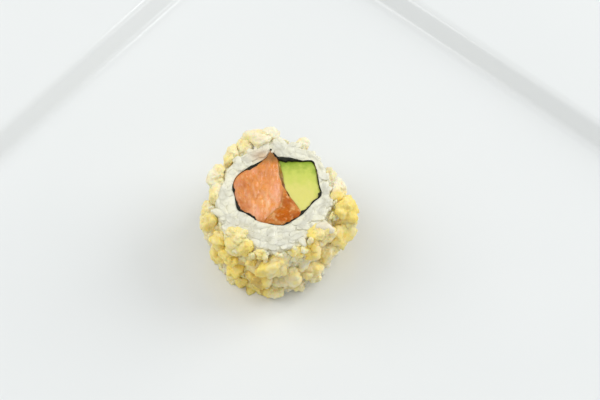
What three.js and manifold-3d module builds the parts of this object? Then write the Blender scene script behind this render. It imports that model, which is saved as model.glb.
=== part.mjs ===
// Spicy salmon uramaki on its plate: one inside-out sushi roll, cut across and stood on its end, with
// salmon and avocado wrapped in nori, a ring of rice round them and a coat of tempura crumbs, on a square
// rimmed plate. Millimetres, +Z up. The origin is the middle of the plate, on the surface that its foot
// stands on. The sides of the plate run along X and Y.
import * as THREE from "three";
import { mergeVertices } from "three/addons/utils/BufferGeometryUtils.js";
import Module from "manifold-3d";

// The plate. Its outlines are squares with round corners and slightly bowed sides.
const PLATE_HALF = 160; // half of the whole side
const WELL_HALF = 107.2; // half of the flat floor, out to the foot of the step
const CORNER_SHARE = 0.09; // a corner's radius, as a share of the half side there
const BOW_SHARE = 0.01; // how far a side's middle bows out, as a share of the half side there
const FLOOR_TOP = 8;
const FLOOR_UNDER = 3.2;
const FOOT_INNER_HALF = 76;
const FOOT_OUTER_HALF = 83;
const FOOT_SLOPE = 2.2; // how far a side of the foot leans in over its height
const STEP_RUN = 5.7;
const STEP_RISE = 6;
const STEP_ROUND = 2.2; // rounding of its top and of its foot
const RIM_RISE = 1.8; // from the step out to the edge
const RIM_THICK = 4.2;
const ROUNDING_STEPS = 3; // on each rounding of the profile
const CORNER_STEPS = 5;
const SIDE_STEPS = 2; // on each half side

// The roll. Its own frame has +Z up its middle and +Y away from the side that it is seen from.
const ROLL_PLACE = [-18.2, 10.8]; // on the plate
const ROLL_TURN = THREE.MathUtils.degToRad(40.4);
const REST_GAP = 0.1; // between the roll's foot and the plate
const PIECE_GAP = 0.3; // between touching pieces
const CUT_HEIGHT = 26; // of the upper cut face, at the roll's middle
const CUT_SLOPE = 0.06; // the knife ran a little askew, so the back stands higher

// The rice ring, a slightly oval loaf.
const RICE_RADIUS = 19.4;
const RICE_OVAL = 1.05; // how much longer the long half way is
const RICE_OVAL_TURN = THREE.MathUtils.degToRad(70);
const RICE_SHIFT = [0.7, -0.3];
const RICE_SAG = 1.1; // how far the foot spreads under the roll's weight
const RICE_BUMP = 0.32; // relief of the grains
const RING_STEPS = 72;

// The nori's outside, through these points of the cut face, from the seam of salmon and avocado round by
// the left.
const NORI_THICK = 0.5;
const NORI_POINTS = [
  [1.9, 13.6],
  [0.6, 15.2],
  [-0.6, 16.7],
  [-1.9, 13.9],
  [-4.4, 11.6],
  [-8.8, 9.1],
  [-11.8, 6.4],
  [-12.9, 2.6],
  [-12.1, -1.2],
  [-11.1, -5.7],
  [-8.7, -7.1],
  [-6.6, -8.5],
  [-4.4, -10.0],
  [-0.6, -11.0],
  [3.2, -11.5],
  [6.8, -9.8],
  [10.0, -7.3],
  [13.2, -3.4],
  [15.9, -0.4],
  [15.1, 4.4],
  [14.5, 9.0],
  [13.0, 12.2],
  [9.4, 12.4],
  [5.2, 13.4],
];
const NORI_UNDER_RICE = 0.2; // how far its cut edge stands below the rice
const SALMON_FOOT_POINT = 12.5; // the nori point where the two salmon pieces part
const AVOCADO_FOOT_POINT = 16; // the nori point where salmon and avocado part
const MEETING = [3.8, 2.1]; // where the three pieces of the filling meet
const SEAM_TOP = [[2.5, 8.4], [3.1, 5.4]]; // thick salmon against avocado, from the nori to the meeting
// Avocado against thin salmon, and thick salmon against thin, both from the meeting to the nori.
const SEAM_RIGHT = [[5.6, -0.6], [8.0, -3.9]];
const SEAM_LEFT = [[3.3, -1.4], [2.6, -4.4], [0.4, -6.6], [-1.6, -8.8]];
const NORI_SUBSTEPS = 2; // outline points of the filling for each nori point
const FILLING_DOME = 0.5; // how far the middle of a cut piece swells above its edge
const SALMON_UNDER_RICE = 0.3;
const AVOCADO_UNDER_RICE = 0.7;

// The tempura crumbs. Each is a lump with a few lobes, sunk part of its depth into the rice.
const CRUMB_SEED = 4217;
const CRUMB_LOBES = 4;
const LOBE_REACH = 0.42;
const CRUMB_BASE = 0.86;
// The large ones, each with its turn round the roll in degrees, the height of its middle, its width round
// the roll, its own height, its depth, and how far its middle lies outside the rice.
const LARGE_CRUMBS = [
  [-126, 25.8, 6.8, 5.0, 5.4, -1.1],
  [-117, 22.4, 9.2, 9.4, 8.0, -0.3],
  [-128, 15.6, 6.6, 6.4, 6.0, 1.6],
  [-122.5, 10.6, 6.6, 5.8, 6.2, 1.4],
  [-100.5, 10.2, 8.2, 7.6, 7.0, 1.8],
  [-85.7, 17.8, 9.8, 10.2, 7.6, 1.4],
  [-68, 22.2, 5.8, 5.0, 5.0, 0.8],
  [-54, 18.8, 8.0, 7.6, 7.0, 2.0],
  [-42, 24.6, 7.2, 3.8, 5.0, 0.8],
  [-6, 19.8, 10.6, 11.6, 9.2, 4.0],
  [-20, 14.0, 9.8, 8.8, 8.4, 3.9],
  [-34, 19.4, 6.8, 6.6, 6.0, 1.9],
  [8.5, 22.6, 6.6, 6.4, 5.8, 2.4],
  [-37, 10.6, 9.0, 7.8, 7.0, 2.4],
  [-58, 7.6, 7.2, 6.6, 6.2, 2.0],
  [-53, 3.4, 6.4, 5.2, 5.6, 0.9],
  [-76, 9.0, 8.6, 7.4, 6.8, 1.8],
  [-89, 3.6, 6.6, 5.4, 5.8, 1.2],
  [-70, 3.6, 6.0, 5.0, 5.4, 0.6],
  [-12, 15.4, 8.4, 8.6, 7.6, 5.0],
  [-142, 19.0, 6.6, 6.4, 5.8, 1.6],
  [-143, 8.6, 7.6, 7.2, 6.0, 1.4],
  [-161, 19.4, 7.2, 8.8, 6.2, 2.1],
  [-166, 10.4, 7.4, 6.8, 6.0, 1.5],
  [178, 23.2, 7.0, 6.2, 5.2, 0.9],
  [158.5, 24.6, 7.4, 6.2, 5.6, 1.8],
  [132, 25.2, 6.4, 5.6, 5.2, 1.5],
  [117, 24.0, 7.2, 6.2, 5.6, 2.2],
  [97, 25.8, 9.6, 6.6, 7.0, 1.9],
  [64, 23.6, 5.6, 4.6, 4.4, 0.8],
  [38, 12.4, 8.6, 8.0, 6.6, 1.7],
  [80, 15.2, 9.2, 8.6, 7.0, 1.8],
  [60, 8.2, 7.6, 7.0, 6.2, 1.5],
  [112, 10.2, 8.6, 8.0, 6.6, 1.7],
  [137, 15.4, 7.8, 7.6, 6.4, 1.6],
  [155, 9.4, 8.0, 7.4, 6.4, 1.6],
  [10, 8.2, 8.6, 7.8, 6.8, 1.9],
  [-173, 20.4, 6.4, 7.4, 5.8, 2.5],
];
// The rest lie on a spiral that covers the side evenly. Each is left out where a larger one already is, and
// where the rice is bare.
const FILL_CRUMBS = 114;
const FILL_LOW = 2.6;
const FILL_HIGH = 24.4;
const FILL_SMALL = 4.2;
const FILL_LARGE = 6.4;
const FILL_OUT = 0.9;
const FILL_JITTER = 1.6;
const GOLDEN_ANGLE = Math.PI * (3 - Math.sqrt(5));
const CROWDED = 0.43; // least distance between two crumbs, as a share of their widths added
const BARE_FROM = THREE.MathUtils.degToRad(14); // turns between which the upper rice is bare
const BARE_TO = THREE.MathUtils.degToRad(58);
const BARE_ABOVE = 16.5;

const wasm = await Module();
wasm.setup();

// A closed geometry as a solid that can be joined and cut.
function solidOf(geometry) {
  const bare = geometry.clone();
  bare.deleteAttribute("normal");
  bare.deleteAttribute("uv");
  const welded = mergeVertices(bare, 1e-4);
  return new wasm.Manifold(
    new wasm.Mesh({
      numProp: 3,
      vertProperties: welded.attributes.position.array,
      triVerts: new Uint32Array(welded.index.array),
    }),
  );
}

// The largest body of a solid as a geometry: loose scraps go, and so do hollows that joining has sealed.
function geometryOf(solid) {
  const bodies = solid.decompose();
  bodies.sort((a, b) => b.volume() - a.volume());
  const mesh = bodies[0].getMesh();
  const geometry = new THREE.BufferGeometry();
  geometry.setAttribute("position", new THREE.BufferAttribute(mesh.vertProperties, 3));
  geometry.setIndex(new THREE.BufferAttribute(mesh.triVerts, 1));
  geometry.computeVertexNormals();
  return geometry;
}

// A repeatable draw of numbers from 0 to 1.
function makeDraw(seed) {
  let state = seed;
  return () => {
    state = (state * 16807) % 2147483647;
    return state / 2147483647;
  };
}

// A lathed profile whose rounds are then moulded: place turns a profile point and a step of the turn into a
// point.
function moulded(profile, steps, place) {
  const geometry = new THREE.LatheGeometry(profile, steps);
  const position = geometry.getAttribute("position");
  for (let i = 0; i < position.count; i++) {
    const point = profile[i % profile.length];
    const step = Math.floor(i / profile.length) % steps;
    position.setXYZ(i, ...place(point.x, point.y, step));
  }
  geometry.computeVertexNormals();
  return geometry;
}

// The upper cut face of the roll, a slightly sloping plane.
function cutHeight(y) {
  return CUT_HEIGHT + CUT_SLOPE * y;
}

// ---- The plate

// A point of the square outline with the given half side: straight, round the corner and straight again in
// each quarter, and bowed out at the middle of each side.
function squareOutline(half, step) {
  if (half === 0) return [0, 0];
  const quarterSteps = 2 * SIDE_STEPS + CORNER_STEPS;
  const quarter = Math.floor(step / quarterSteps);
  const along = step % quarterSteps;
  const corner = CORNER_SHARE * half;
  const straight = half - corner;
  let x = half;
  let y = straight * Math.min(1, along / SIDE_STEPS);
  if (along > SIDE_STEPS) {
    const turn = (Math.min(1, (along - SIDE_STEPS) / CORNER_STEPS) * Math.PI) / 2;
    x = straight + corner * Math.cos(turn);
    y = straight + corner * Math.sin(turn);
  }
  if (along > SIDE_STEPS + CORNER_STEPS) {
    x = straight * (1 - (along - SIDE_STEPS - CORNER_STEPS) / SIDE_STEPS);
  }
  const bowedX = x * (1 + BOW_SHARE * (1 - (y / half) ** 2));
  const bowedY = y * (1 + BOW_SHARE * (1 - (x / half) ** 2));
  const turned = new THREE.Vector2(bowedX, bowedY);
  turned.rotateAround(new THREE.Vector2(), (quarter * Math.PI) / 2);
  return [turned.x, turned.y];
}

// A profile through the corners [half side, height, rounding], each cut back by its rounding and bridged by
// a curve.
function roundedProfile(corners) {
  const path = new THREE.Path();
  const points = corners.map(([half, height]) => new THREE.Vector2(half, height));
  path.moveTo(points[0].x, points[0].y);
  corners.forEach(([, , round], i) => {
    if (i === 0) return;
    if (!round) {
      path.lineTo(points[i].x, points[i].y);
      return;
    }
    const towards = (other) => other.clone().sub(points[i]).setLength(round).add(points[i]);
    const before = towards(points[i - 1]);
    const after = towards(points[i + 1]);
    path.lineTo(before.x, before.y);
    path.quadraticCurveTo(points[i].x, points[i].y, after.x, after.y);
  });
  return path.getPoints(ROUNDING_STEPS);
}

function plateGeometry() {
  const stepTop = FLOOR_TOP + STEP_RISE;
  const edgeTop = stepTop + RIM_RISE;
  const stepOuter = WELL_HALF + STEP_RUN;
  const profile = roundedProfile([
    [0, FLOOR_UNDER, 0],
    [FOOT_INNER_HALF, FLOOR_UNDER, 0],
    [FOOT_INNER_HALF + FOOT_SLOPE, 0, 0],
    [FOOT_OUTER_HALF, 0, 0],
    [FOOT_OUTER_HALF + FOOT_SLOPE, FLOOR_UNDER, 0],
    [WELL_HALF + 2, FLOOR_UNDER + 0.4, 3],
    [stepOuter + 2, stepTop - RIM_THICK, 3],
    [PLATE_HALF, edgeTop - RIM_THICK, 2],
    [PLATE_HALF, edgeTop, 2],
    [stepOuter, stepTop, STEP_ROUND],
    [WELL_HALF, FLOOR_TOP, STEP_ROUND],
    [0, FLOOR_TOP, 0],
  ]);
  const steps = 4 * (2 * SIDE_STEPS + CORNER_STEPS);
  return moulded(profile, steps, (half, height, step) => [...squareOutline(half, step), height]);
}

// ---- The roll's outlines

const noriCurve = new THREE.CatmullRomCurve3(
  NORI_POINTS.map(([x, y]) => new THREE.Vector3(x, y, 0)),
  true,
  "catmullrom",
  0.5,
);

// A point of the nori's outline, share of the way round, moved inwards.
function noriPoint(share, inwards) {
  const point = noriCurve.getPoint(share % 1);
  const ahead = noriCurve.getTangent(share % 1);
  return new THREE.Vector2(point.x - ahead.y * inwards, point.y + ahead.x * inwards);
}

// The rice's outside at a turn about the roll's middle, and at a height over its foot.
function riceRadius(turn, height) {
  const oval = RICE_OVAL * Math.cos(2 * (turn - RICE_OVAL_TURN));
  const shift = RICE_SHIFT[0] * Math.cos(turn) + RICE_SHIFT[1] * Math.sin(turn);
  const lumps = 0.25 * Math.cos(5 * turn + 1) + 0.2 * Math.cos(7 * turn + 2);
  const sag = RICE_SAG * Math.max(0, 1 - height / CUT_HEIGHT) ** 2;
  return RICE_RADIUS + oval + shift + lumps + sag;
}

// Relief of rice grains: three crossing ripples, a grain's length and width apart.
function grainRelief(x, y, z) {
  const long = Math.sin(1.25 * x + 0.6 * z) * Math.sin(1.1 * y - 0.7 * z + 1);
  const short = Math.sin(2.1 * x - 1.3 * y + 0.4) * Math.sin(1.9 * z + 1.2 * y);
  return RICE_BUMP * (0.6 * long + 0.6 * short);
}

// ---- The rice with its crumbs

function riceGeometry() {
  // Across runs from 1 at the nori to 2 at the outside, and up from 0 at the foot to 1 at the cut face. The
  // cut face and the side have points between their ends, which the relief of the grains moves.
  const profile = [
    [1, 0],
    [1.8, 0],
    [1.95, 0.03],
    [2, 0.07],
    [2, 0.25],
    [2, 0.42],
    [2, 0.59],
    [2, 0.76],
    [1.99, 0.9],
    [1.9, 0.97],
    [1.75, 1],
    [1.5, 1],
    [1.25, 1],
    [1, 1],
    [1, 0.5],
    [1, 0],
  ].map(([across, up]) => new THREE.Vector2(across, up));
  return moulded(profile, RING_STEPS, (across, up, step) => {
    const inner = noriPoint(step / RING_STEPS, -PIECE_GAP);
    const outer = inner.clone().setLength(riceRadius(inner.angle(), CUT_HEIGHT * up));
    const point = inner.clone().lerp(outer, across - 1);
    const height = REST_GAP + up * (cutHeight(point.y) - REST_GAP);
    const isInner = across === 1;
    const isFoot = up < 0.05;
    const isSide = across > 1.9;
    const relief = isInner || isFoot ? 0 : grainRelief(point.x, point.y, height);
    if (isSide) point.setLength(point.length() + relief);
    return [point.x, point.y, isSide ? height : height + relief];
  });
}

// The crumbs' list: middle, size along the roll's radius, round it and up it, and lobes. Large ones come
// first.
function crumbList() {
  const draw = makeDraw(CRUMB_SEED);
  const list = [];
  const add = (turn, height, width, tall, depth, out) => {
    const radius = riceRadius(turn, height) + out;
    const lobes = [];
    for (let i = 0; i < CRUMB_LOBES; i++) {
      const rise = 2 * draw() - 1;
      const spin = 2 * Math.PI * draw();
      const flat = Math.sqrt(1 - rise * rise);
      lobes.push(new THREE.Vector3(flat * Math.cos(spin), flat * Math.sin(spin), rise));
    }
    const middle = new THREE.Vector3(radius * Math.cos(turn), radius * Math.sin(turn), height);
    const large = list.length < LARGE_CRUMBS.length;
    list.push({ middle, turn, size: new THREE.Vector3(depth, width, tall), lobes, large });
  };
  for (const [degrees, ...rest] of LARGE_CRUMBS) add(THREE.MathUtils.degToRad(degrees), ...rest);
  for (let i = 0; i < FILL_CRUMBS; i++) {
    const share = (i + 0.5) / FILL_CRUMBS;
    const turn = i * GOLDEN_ANGLE;
    const height = FILL_LOW + (FILL_HIGH - FILL_LOW) * share + FILL_JITTER * (draw() - 0.5);
    const width = FILL_SMALL + (FILL_LARGE - FILL_SMALL) * draw() ** 2;
    const tall = width * (0.75 + 0.4 * draw());
    const depth = width * (0.75 + 0.3 * draw());
    const radius = riceRadius(turn, height) + FILL_OUT;
    const middle = new THREE.Vector3(radius * Math.cos(turn), radius * Math.sin(turn), height);
    const crowded = list.some((c) => c.middle.distanceTo(middle) < CROWDED * (c.size.y + width));
    const round = turn % (2 * Math.PI);
    const bare = height > BARE_ABOVE && round > BARE_FROM && round < BARE_TO;
    if (!crowded && !bare) add(turn, height, width, tall, depth, FILL_OUT);
  }
  return list;
}

// One crumb: a ball whose radius swells towards each lobe, stretched to its size and turned to face
// outwards.
function crumbGeometry(crumb) {
  const geometry = new THREE.IcosahedronGeometry(1, crumb.large ? 1 : 0);
  const position = geometry.getAttribute("position");
  const point = new THREE.Vector3();
  for (let i = 0; i < position.count; i++) {
    point.fromBufferAttribute(position, i).normalize();
    let radius = CRUMB_BASE;
    for (const lobe of crumb.lobes) radius += LOBE_REACH * Math.max(0, point.dot(lobe)) ** 4;
    point.multiplyScalar(radius / 2).multiply(crumb.size);
    position.setXYZ(i, point.x, point.y, point.z);
  }
  geometry.rotateZ(crumb.turn);
  return geometry.translate(crumb.middle.x, crumb.middle.y, crumb.middle.z);
}

function crumbedRiceGeometry() {
  let solid = solidOf(riceGeometry());
  for (const crumb of crumbList()) solid = solid.add(solidOf(crumbGeometry(crumb)));
  // What hangs below the rice's foot is cut off flat, clear of the plate, and the nori's hollow stays open.
  const tall = 2 * CUT_HEIGHT;
  const underside = new THREE.BoxGeometry(4 * RICE_RADIUS, 4 * RICE_RADIUS, tall);
  underside.translate(0, 0, REST_GAP - tall / 2);
  const hollow = new THREE.ExtrudeGeometry(ringShape(-PIECE_GAP), { depth: tall, bevelEnabled: false });
  hollow.translate(0, 0, -CUT_HEIGHT / 2);
  return geometryOf(solid.subtract(solidOf(underside)).subtract(solidOf(hollow)));
}

// ---- The nori and what it wraps

// The area inside the nori's outline moved inwards.
function ringShape(inwards) {
  const points = [];
  for (let i = 0; i < RING_STEPS; i++) points.push(noriPoint(i / RING_STEPS, inwards));
  return new THREE.Shape(points);
}

// The nori is a band of one thickness from the roll's foot to the sloping cut face.
function noriGeometry() {
  const shape = ringShape(0);
  shape.holes.push(ringShape(NORI_THICK));
  const geometry = new THREE.ExtrudeGeometry(shape, { depth: 1, bevelEnabled: false });
  const position = geometry.getAttribute("position");
  for (let i = 0; i < position.count; i++) {
    const top = cutHeight(position.getY(i)) - NORI_UNDER_RICE;
    position.setZ(i, REST_GAP + position.getZ(i) * (top - REST_GAP));
  }
  geometry.computeVertexNormals();
  return geometry;
}

// The outline of a piece of the filling: along the nori from one of its points to another, and back along
// the seams.
function fillingOutline(fromPoint, toPoint, seams) {
  const inwards = NORI_THICK + PIECE_GAP;
  const points = [];
  for (let i = 0; i <= NORI_SUBSTEPS * (toPoint - fromPoint); i++) {
    points.push(noriPoint((fromPoint + i / NORI_SUBSTEPS) / NORI_POINTS.length, inwards));
  }
  for (const [x, y] of seams) points.push(new THREE.Vector2(x, y));
  // Each point is drawn in by half a gap, square to the line between its neighbours.
  return points.map((point, i) => {
    const before = points[(i + points.length - 1) % points.length];
    const after = points[(i + 1) % points.length];
    const ahead = after.clone().sub(before).normalize();
    return new THREE.Vector2(-ahead.y, ahead.x).multiplyScalar(PIECE_GAP / 2).add(point);
  });
}

// A block with that outline, from the roll's foot up to a little under the cut face, with a rounded and
// slightly domed top. Its rounds shrink towards the middle of the outline.
function blockGeometry(outline, under) {
  const middle = new THREE.Vector2();
  for (const point of outline) middle.addScaledVector(point, 1 / outline.length);
  const profile = [
    [0, 0],
    [1, 0],
    [1, 0.5],
    [1, 1],
    [0.9, 1],
    [0.5, 1],
    [0, 1],
  ].map(([across, up]) => new THREE.Vector2(across, up));
  return moulded(profile, outline.length, (across, up, step) => {
    const point = middle.clone().lerp(outline[step], across);
    const dome = up === 1 ? FILLING_DOME * (1 - across ** 4) : 0;
    const top = cutHeight(point.y) - under - FILLING_DOME;
    return [point.x, point.y, REST_GAP + up * (top - REST_GAP) + dome];
  });
}

function fillingPieces() {
  const last = NORI_POINTS.length;
  const thick = fillingOutline(0, SALMON_FOOT_POINT, [
    ...SEAM_LEFT.toReversed(),
    MEETING,
    ...SEAM_TOP.toReversed(),
  ]);
  const thin = fillingOutline(SALMON_FOOT_POINT, AVOCADO_FOOT_POINT, [
    ...SEAM_RIGHT.toReversed(),
    MEETING,
    ...SEAM_LEFT,
  ]);
  const avocado = fillingOutline(AVOCADO_FOOT_POINT, last, [...SEAM_TOP, MEETING, ...SEAM_RIGHT]);
  return {
    salmon_thick: blockGeometry(thick, SALMON_UNDER_RICE),
    salmon_thin: blockGeometry(thin, SALMON_UNDER_RICE),
    avocado: blockGeometry(avocado, AVOCADO_UNDER_RICE),
  };
}

// ---- The whole

function finish(color, roughness) {
  return new THREE.MeshStandardMaterial({ color, roughness, metalness: 0 });
}

function piece(name, geometry, material) {
  const mesh = new THREE.Mesh(geometry, material);
  mesh.name = name;
  return mesh;
}

const salmonFinish = finish("#e08a58", 0.35);
const filling = fillingPieces();

const roll = new THREE.Group();
roll.add(
  piece("crumbed_rice", crumbedRiceGeometry(), finish("#efe3b4", 0.75)),
  piece("nori", noriGeometry(), finish("#1d2216", 0.5)),
  piece("salmon_thick", filling.salmon_thick, salmonFinish),
  piece("salmon_thin", filling.salmon_thin, salmonFinish),
  piece("avocado", filling.avocado, finish("#cfd873", 0.45)),
);
roll.rotation.z = ROLL_TURN;
roll.position.set(...ROLL_PLACE, FLOOR_TOP);

const uramaki = new THREE.Group();
uramaki.add(piece("plate", plateGeometry(), finish("#eef0ef", 0.15)), roll);

export default uramaki;
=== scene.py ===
import itertools
import math

import bpy
import numpy as np
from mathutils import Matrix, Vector


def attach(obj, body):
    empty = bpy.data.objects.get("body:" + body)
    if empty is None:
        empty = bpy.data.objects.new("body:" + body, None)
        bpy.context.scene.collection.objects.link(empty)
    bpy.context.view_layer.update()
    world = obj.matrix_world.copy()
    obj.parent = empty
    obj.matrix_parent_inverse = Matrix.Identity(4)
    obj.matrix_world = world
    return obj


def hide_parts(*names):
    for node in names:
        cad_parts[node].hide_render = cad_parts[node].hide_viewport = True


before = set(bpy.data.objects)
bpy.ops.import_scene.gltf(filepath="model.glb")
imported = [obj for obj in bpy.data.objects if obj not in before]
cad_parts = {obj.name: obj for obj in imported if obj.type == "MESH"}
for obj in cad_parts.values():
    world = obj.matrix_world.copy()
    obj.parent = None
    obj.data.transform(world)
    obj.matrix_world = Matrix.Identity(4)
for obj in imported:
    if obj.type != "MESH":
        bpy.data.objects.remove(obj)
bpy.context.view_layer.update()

# A piece of inside-out sushi roll on a square porcelain plate. Shapes are worked out in millimetres. The
# roll has its own frame: +Z up its middle, +Y away from the side that it is seen from, and the plate's
# floor at height 0.
MM = 0.001
ROLL_PLACE = (-18.2, 10.8)  # on the plate
ROLL_TURN = math.radians(40.4)
FLOOR_TOP = 8.0  # of the plate's floor, over the table
REST_GAP = 0.1  # under the roll
CUT_HEIGHT = 26.0
CUT_SLOPE = 0.06  # the knife ran a little askew, so the back stands higher

# The photograph: where the middle of the roll's foot is seen in it, and how large a millimetre is there.
PHOTO_SIZE = (600, 400)
FOCAL_PX = 2000.0
ROLL_PX = (273.0, 234.5)
PX_PER_MM = 3.0
VIEW_DOWN = math.radians(58.2)
SENSOR_MM = 36.0
SEEN_FROM, SEEN_TO = 0.01, 10  # how near and how far the camera sees, in metres

# The plate
PLATE_HALF = 160.0
WELL_HALF = 107.2
CORNER_SHARE = 0.09  # a corner's radius, as a share of the half side there
BOW_SHARE = 0.01  # how far a side's middle bows out, as a share of the half side there
FLOOR_UNDER = 3.2
FOOT_INNER_HALF = 76.0
FOOT_OUTER_HALF = 83.0
FOOT_SLOPE = 2.2
FOOT_ROUND = 0.8
STEP_RUN = 5.7
STEP_RISE = 6.0
STEP_ROUND = 2.2
RIM_RISE = 1.8
RIM_THICK = 4.2
RIM_ROUND = 2.0
UNDER_OUT = 2.0  # how far the underside's corners lie outside the step's
UNDER_RISE = 0.4  # from the foot to the step
UNDER_ROUND = 3.0
FOOT_EASE = 1.0  # rounding where the foot meets the underside
PLATE_STEPS = 232  # points round an outline
STRAIGHT_SHARE = 0.27  # of a quarter's points, on each of its two straight stretches
ROUNDING_STEPS = 9
FINE_STEPS = 24  # between two points of an outline, before its points are spaced evenly

# The rice
RICE_RADIUS = 19.4
RICE_OVAL = 1.05
RICE_OVAL_TURN = math.radians(70)
RICE_SHIFT = (0.7, -0.3)
RICE_LUMPS = [(0.25, 5, 1), (0.2, 7, 2)]  # how high, how many round the side, and their phase
RICE_SAG = 1.1
GRAIN_LENGTH = 6.2
GRAIN_WIDTH = 2.7
STAIN = [(1, (-3.6, 14.0), (3.4, 2.2))]  # the spot where the salmon's oil has coloured the rice

# The nori's outside, through these points of the cut face, from the seam of salmon and avocado round by
# the left.
NORI_POINTS = np.array([
    (1.9, 13.6), (0.6, 15.2), (-0.6, 16.7), (-1.9, 13.9), (-4.4, 11.6), (-8.8, 9.1), (-11.8, 6.4),
    (-12.9, 2.6), (-12.1, -1.2), (-11.1, -5.7), (-8.7, -7.1), (-6.6, -8.5), (-4.4, -10.0),
    (-0.6, -11.0), (3.2, -11.5), (6.8, -9.8), (10.0, -7.3), (13.2, -3.4), (15.9, -0.4), (15.1, 4.4),
    (14.5, 9.0), (13.0, 12.2), (9.4, 12.4), (5.2, 13.4),
])
# Its thickness where it is crumpled, folded or stretched thin, by the number of the nori point. Near
# points 22.9 and 23.5 it is made thick, so that its black also fills the shaded gap between the avocado
# and the rice: partly nori, partly painted shade.
NORI_THICKNESS = [
    (0, 0.75), (0.6, 0.42), (1.4, 0.36), (1.9, 0.85), (2.2, 0.4), (2.6, 0.1), (3.6, 0.1), (3.8, 0.5),
    (4.3, 0.9), (4.8, 0.95), (5.1, 0.4), (5.4, 0.1), (6.6, 0.1), (6.9, 0.75), (7.3, 0.95), (7.8, 0.36),
    (8.2, 0.3), (8.7, 0.7), (9.0, 1.4), (9.3, 0.6), (9.8, 0.5), (10.5, 0.75), (11.2, 0.95), (11.6, 0.4),
    (11.9, 0.1), (12.6, 0.12), (13.0, 0.34), (13.8, 0.3), (14.2, 0.36), (14.4, 0.85), (14.7, 0.3),
    (15.6, 0.36), (16.0, 1.05), (16.4, 0.45), (17.0, 0.6), (17.5, 0.45), (18.0, 1.05), (18.5, 0.34),
    (19.5, 0.25), (20.5, 0.2), (21.1, 0.4), (21.8, 0.34), (22.3, 0.45), (22.9, 1.2), (23.5, 1.2),
]
SALMON_FOOT_POINT = 12.5
AVOCADO_FOOT_POINT = 16
MEETING = (3.8, 2.1)
SEAM_TOP = [(2.5, 8.4), (3.1, 5.4)]
SEAM_RIGHT = [(5.6, -0.6), (8.0, -3.9)]
SEAM_LEFT = [(3.3, -1.4), (2.6, -4.4), (0.4, -6.6), (-1.6, -8.8)]

# The tempura crumbs, as the solids have them: each large one's turn in degrees, the height of its middle,
# its width round the roll, its own height, its depth, and how far its middle lies outside the rice.
CRUMB_SEED = 4217
CRUMB_LOBES = 4
LOBE_REACH = 0.42
LARGE_CRUMBS = [
    (-126, 25.8, 6.8, 5.0, 5.4, -1.1), (-117, 22.4, 9.2, 9.4, 8.0, -0.3),
    (-128, 15.6, 6.6, 6.4, 6.0, 1.6), (-122.5, 10.6, 6.6, 5.8, 6.2, 1.4),
    (-100.5, 10.2, 8.2, 7.6, 7.0, 1.8), (-85.7, 17.8, 9.8, 10.2, 7.6, 1.4),
    (-68, 22.2, 5.8, 5.0, 5.0, 0.8), (-54, 18.8, 8.0, 7.6, 7.0, 2.0), (-42, 24.6, 7.2, 3.8, 5.0, 0.8),
    (-6, 19.8, 10.6, 11.6, 9.2, 4.0), (-20, 14.0, 9.8, 8.8, 8.4, 3.9), (-34, 19.4, 6.8, 6.6, 6.0, 1.9),
    (8.5, 22.6, 6.6, 6.4, 5.8, 2.4), (-37, 10.6, 9.0, 7.8, 7.0, 2.4), (-58, 7.6, 7.2, 6.6, 6.2, 2.0),
    (-53, 3.4, 6.4, 5.2, 5.6, 0.9), (-76, 9.0, 8.6, 7.4, 6.8, 1.8), (-89, 3.6, 6.6, 5.4, 5.8, 1.2),
    (-70, 3.6, 6.0, 5.0, 5.4, 0.6), (-12, 15.4, 8.4, 8.6, 7.6, 5.0), (-142, 19.0, 6.6, 6.4, 5.8, 1.6),
    (-143, 8.6, 7.6, 7.2, 6.0, 1.4), (-161, 19.4, 7.2, 8.8, 6.2, 2.1), (-166, 10.4, 7.4, 6.8, 6.0, 1.5),
    (178, 23.2, 7.0, 6.2, 5.2, 0.9), (158.5, 24.6, 7.4, 6.2, 5.6, 1.8), (132, 25.2, 6.4, 5.6, 5.2, 1.5),
    (117, 24.0, 7.2, 6.2, 5.6, 2.2), (97, 25.8, 9.6, 6.6, 7.0, 1.9), (64, 23.6, 5.6, 4.6, 4.4, 0.8),
    (38, 12.4, 8.6, 8.0, 6.6, 1.7), (80, 15.2, 9.2, 8.6, 7.0, 1.8), (60, 8.2, 7.6, 7.0, 6.2, 1.5),
    (112, 10.2, 8.6, 8.0, 6.6, 1.7), (137, 15.4, 7.8, 7.6, 6.4, 1.6), (155, 9.4, 8.0, 7.4, 6.4, 1.6),
    (10, 8.2, 8.6, 7.8, 6.8, 1.9), (-173, 20.4, 6.4, 7.4, 5.8, 2.5),
]
FILL_CRUMBS = 114
FILL_LOW = 2.6
FILL_HIGH = 24.4
FILL_SMALL = 4.2
FILL_LARGE = 6.4
FILL_TALL = (0.75, 0.4)  # least height as a share of the width, and how much more it may be
FILL_DEEP = (0.75, 0.3)  # and the same for its depth
FILL_OUT = 0.9
FILL_JITTER = 1.6
GOLDEN_ANGLE = math.pi * (3 - math.sqrt(5))
CROWDED = 0.43
BARE_FROM = math.radians(14)
BARE_TO = math.radians(58)
BARE_ABOVE = 16.5
# How golden the crumbs are near the rim and near the foot, by their turn in degrees. Past 1, near the
# foot in front, the crumbs darken to olive brown: painted shade.
GOLDEN_RIM = [
    (-165, 0.6), (-142, 0.65), (-117, 0.7), (-86, 0.8), (-68, 0.55), (-54, 0.85), (-36, 0.6),
    (-14, 0.85), (0, 0.85), (10, 0.25), (30, 0.1), (64, 0.15), (97, 0.3), (117, 0.35), (132, 0.6),
    (150, 0.4), (178, 0.45),
]
GOLDEN_FOOT_AND_SHADE = [
    (-165, 0.35), (-142, 0.95), (-122, 1.25), (-101, 1.8), (-90, 0.45), (-58, 0.4), (-36, 0.3),
    (-14, 0.8), (10, 0.6), (90, 0.4), (178, 0.4),
]


# ---- Numbers: draws, noise and outlines


DRAW_FACTOR = 16807
LARGEST = 2**31 - 1
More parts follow.
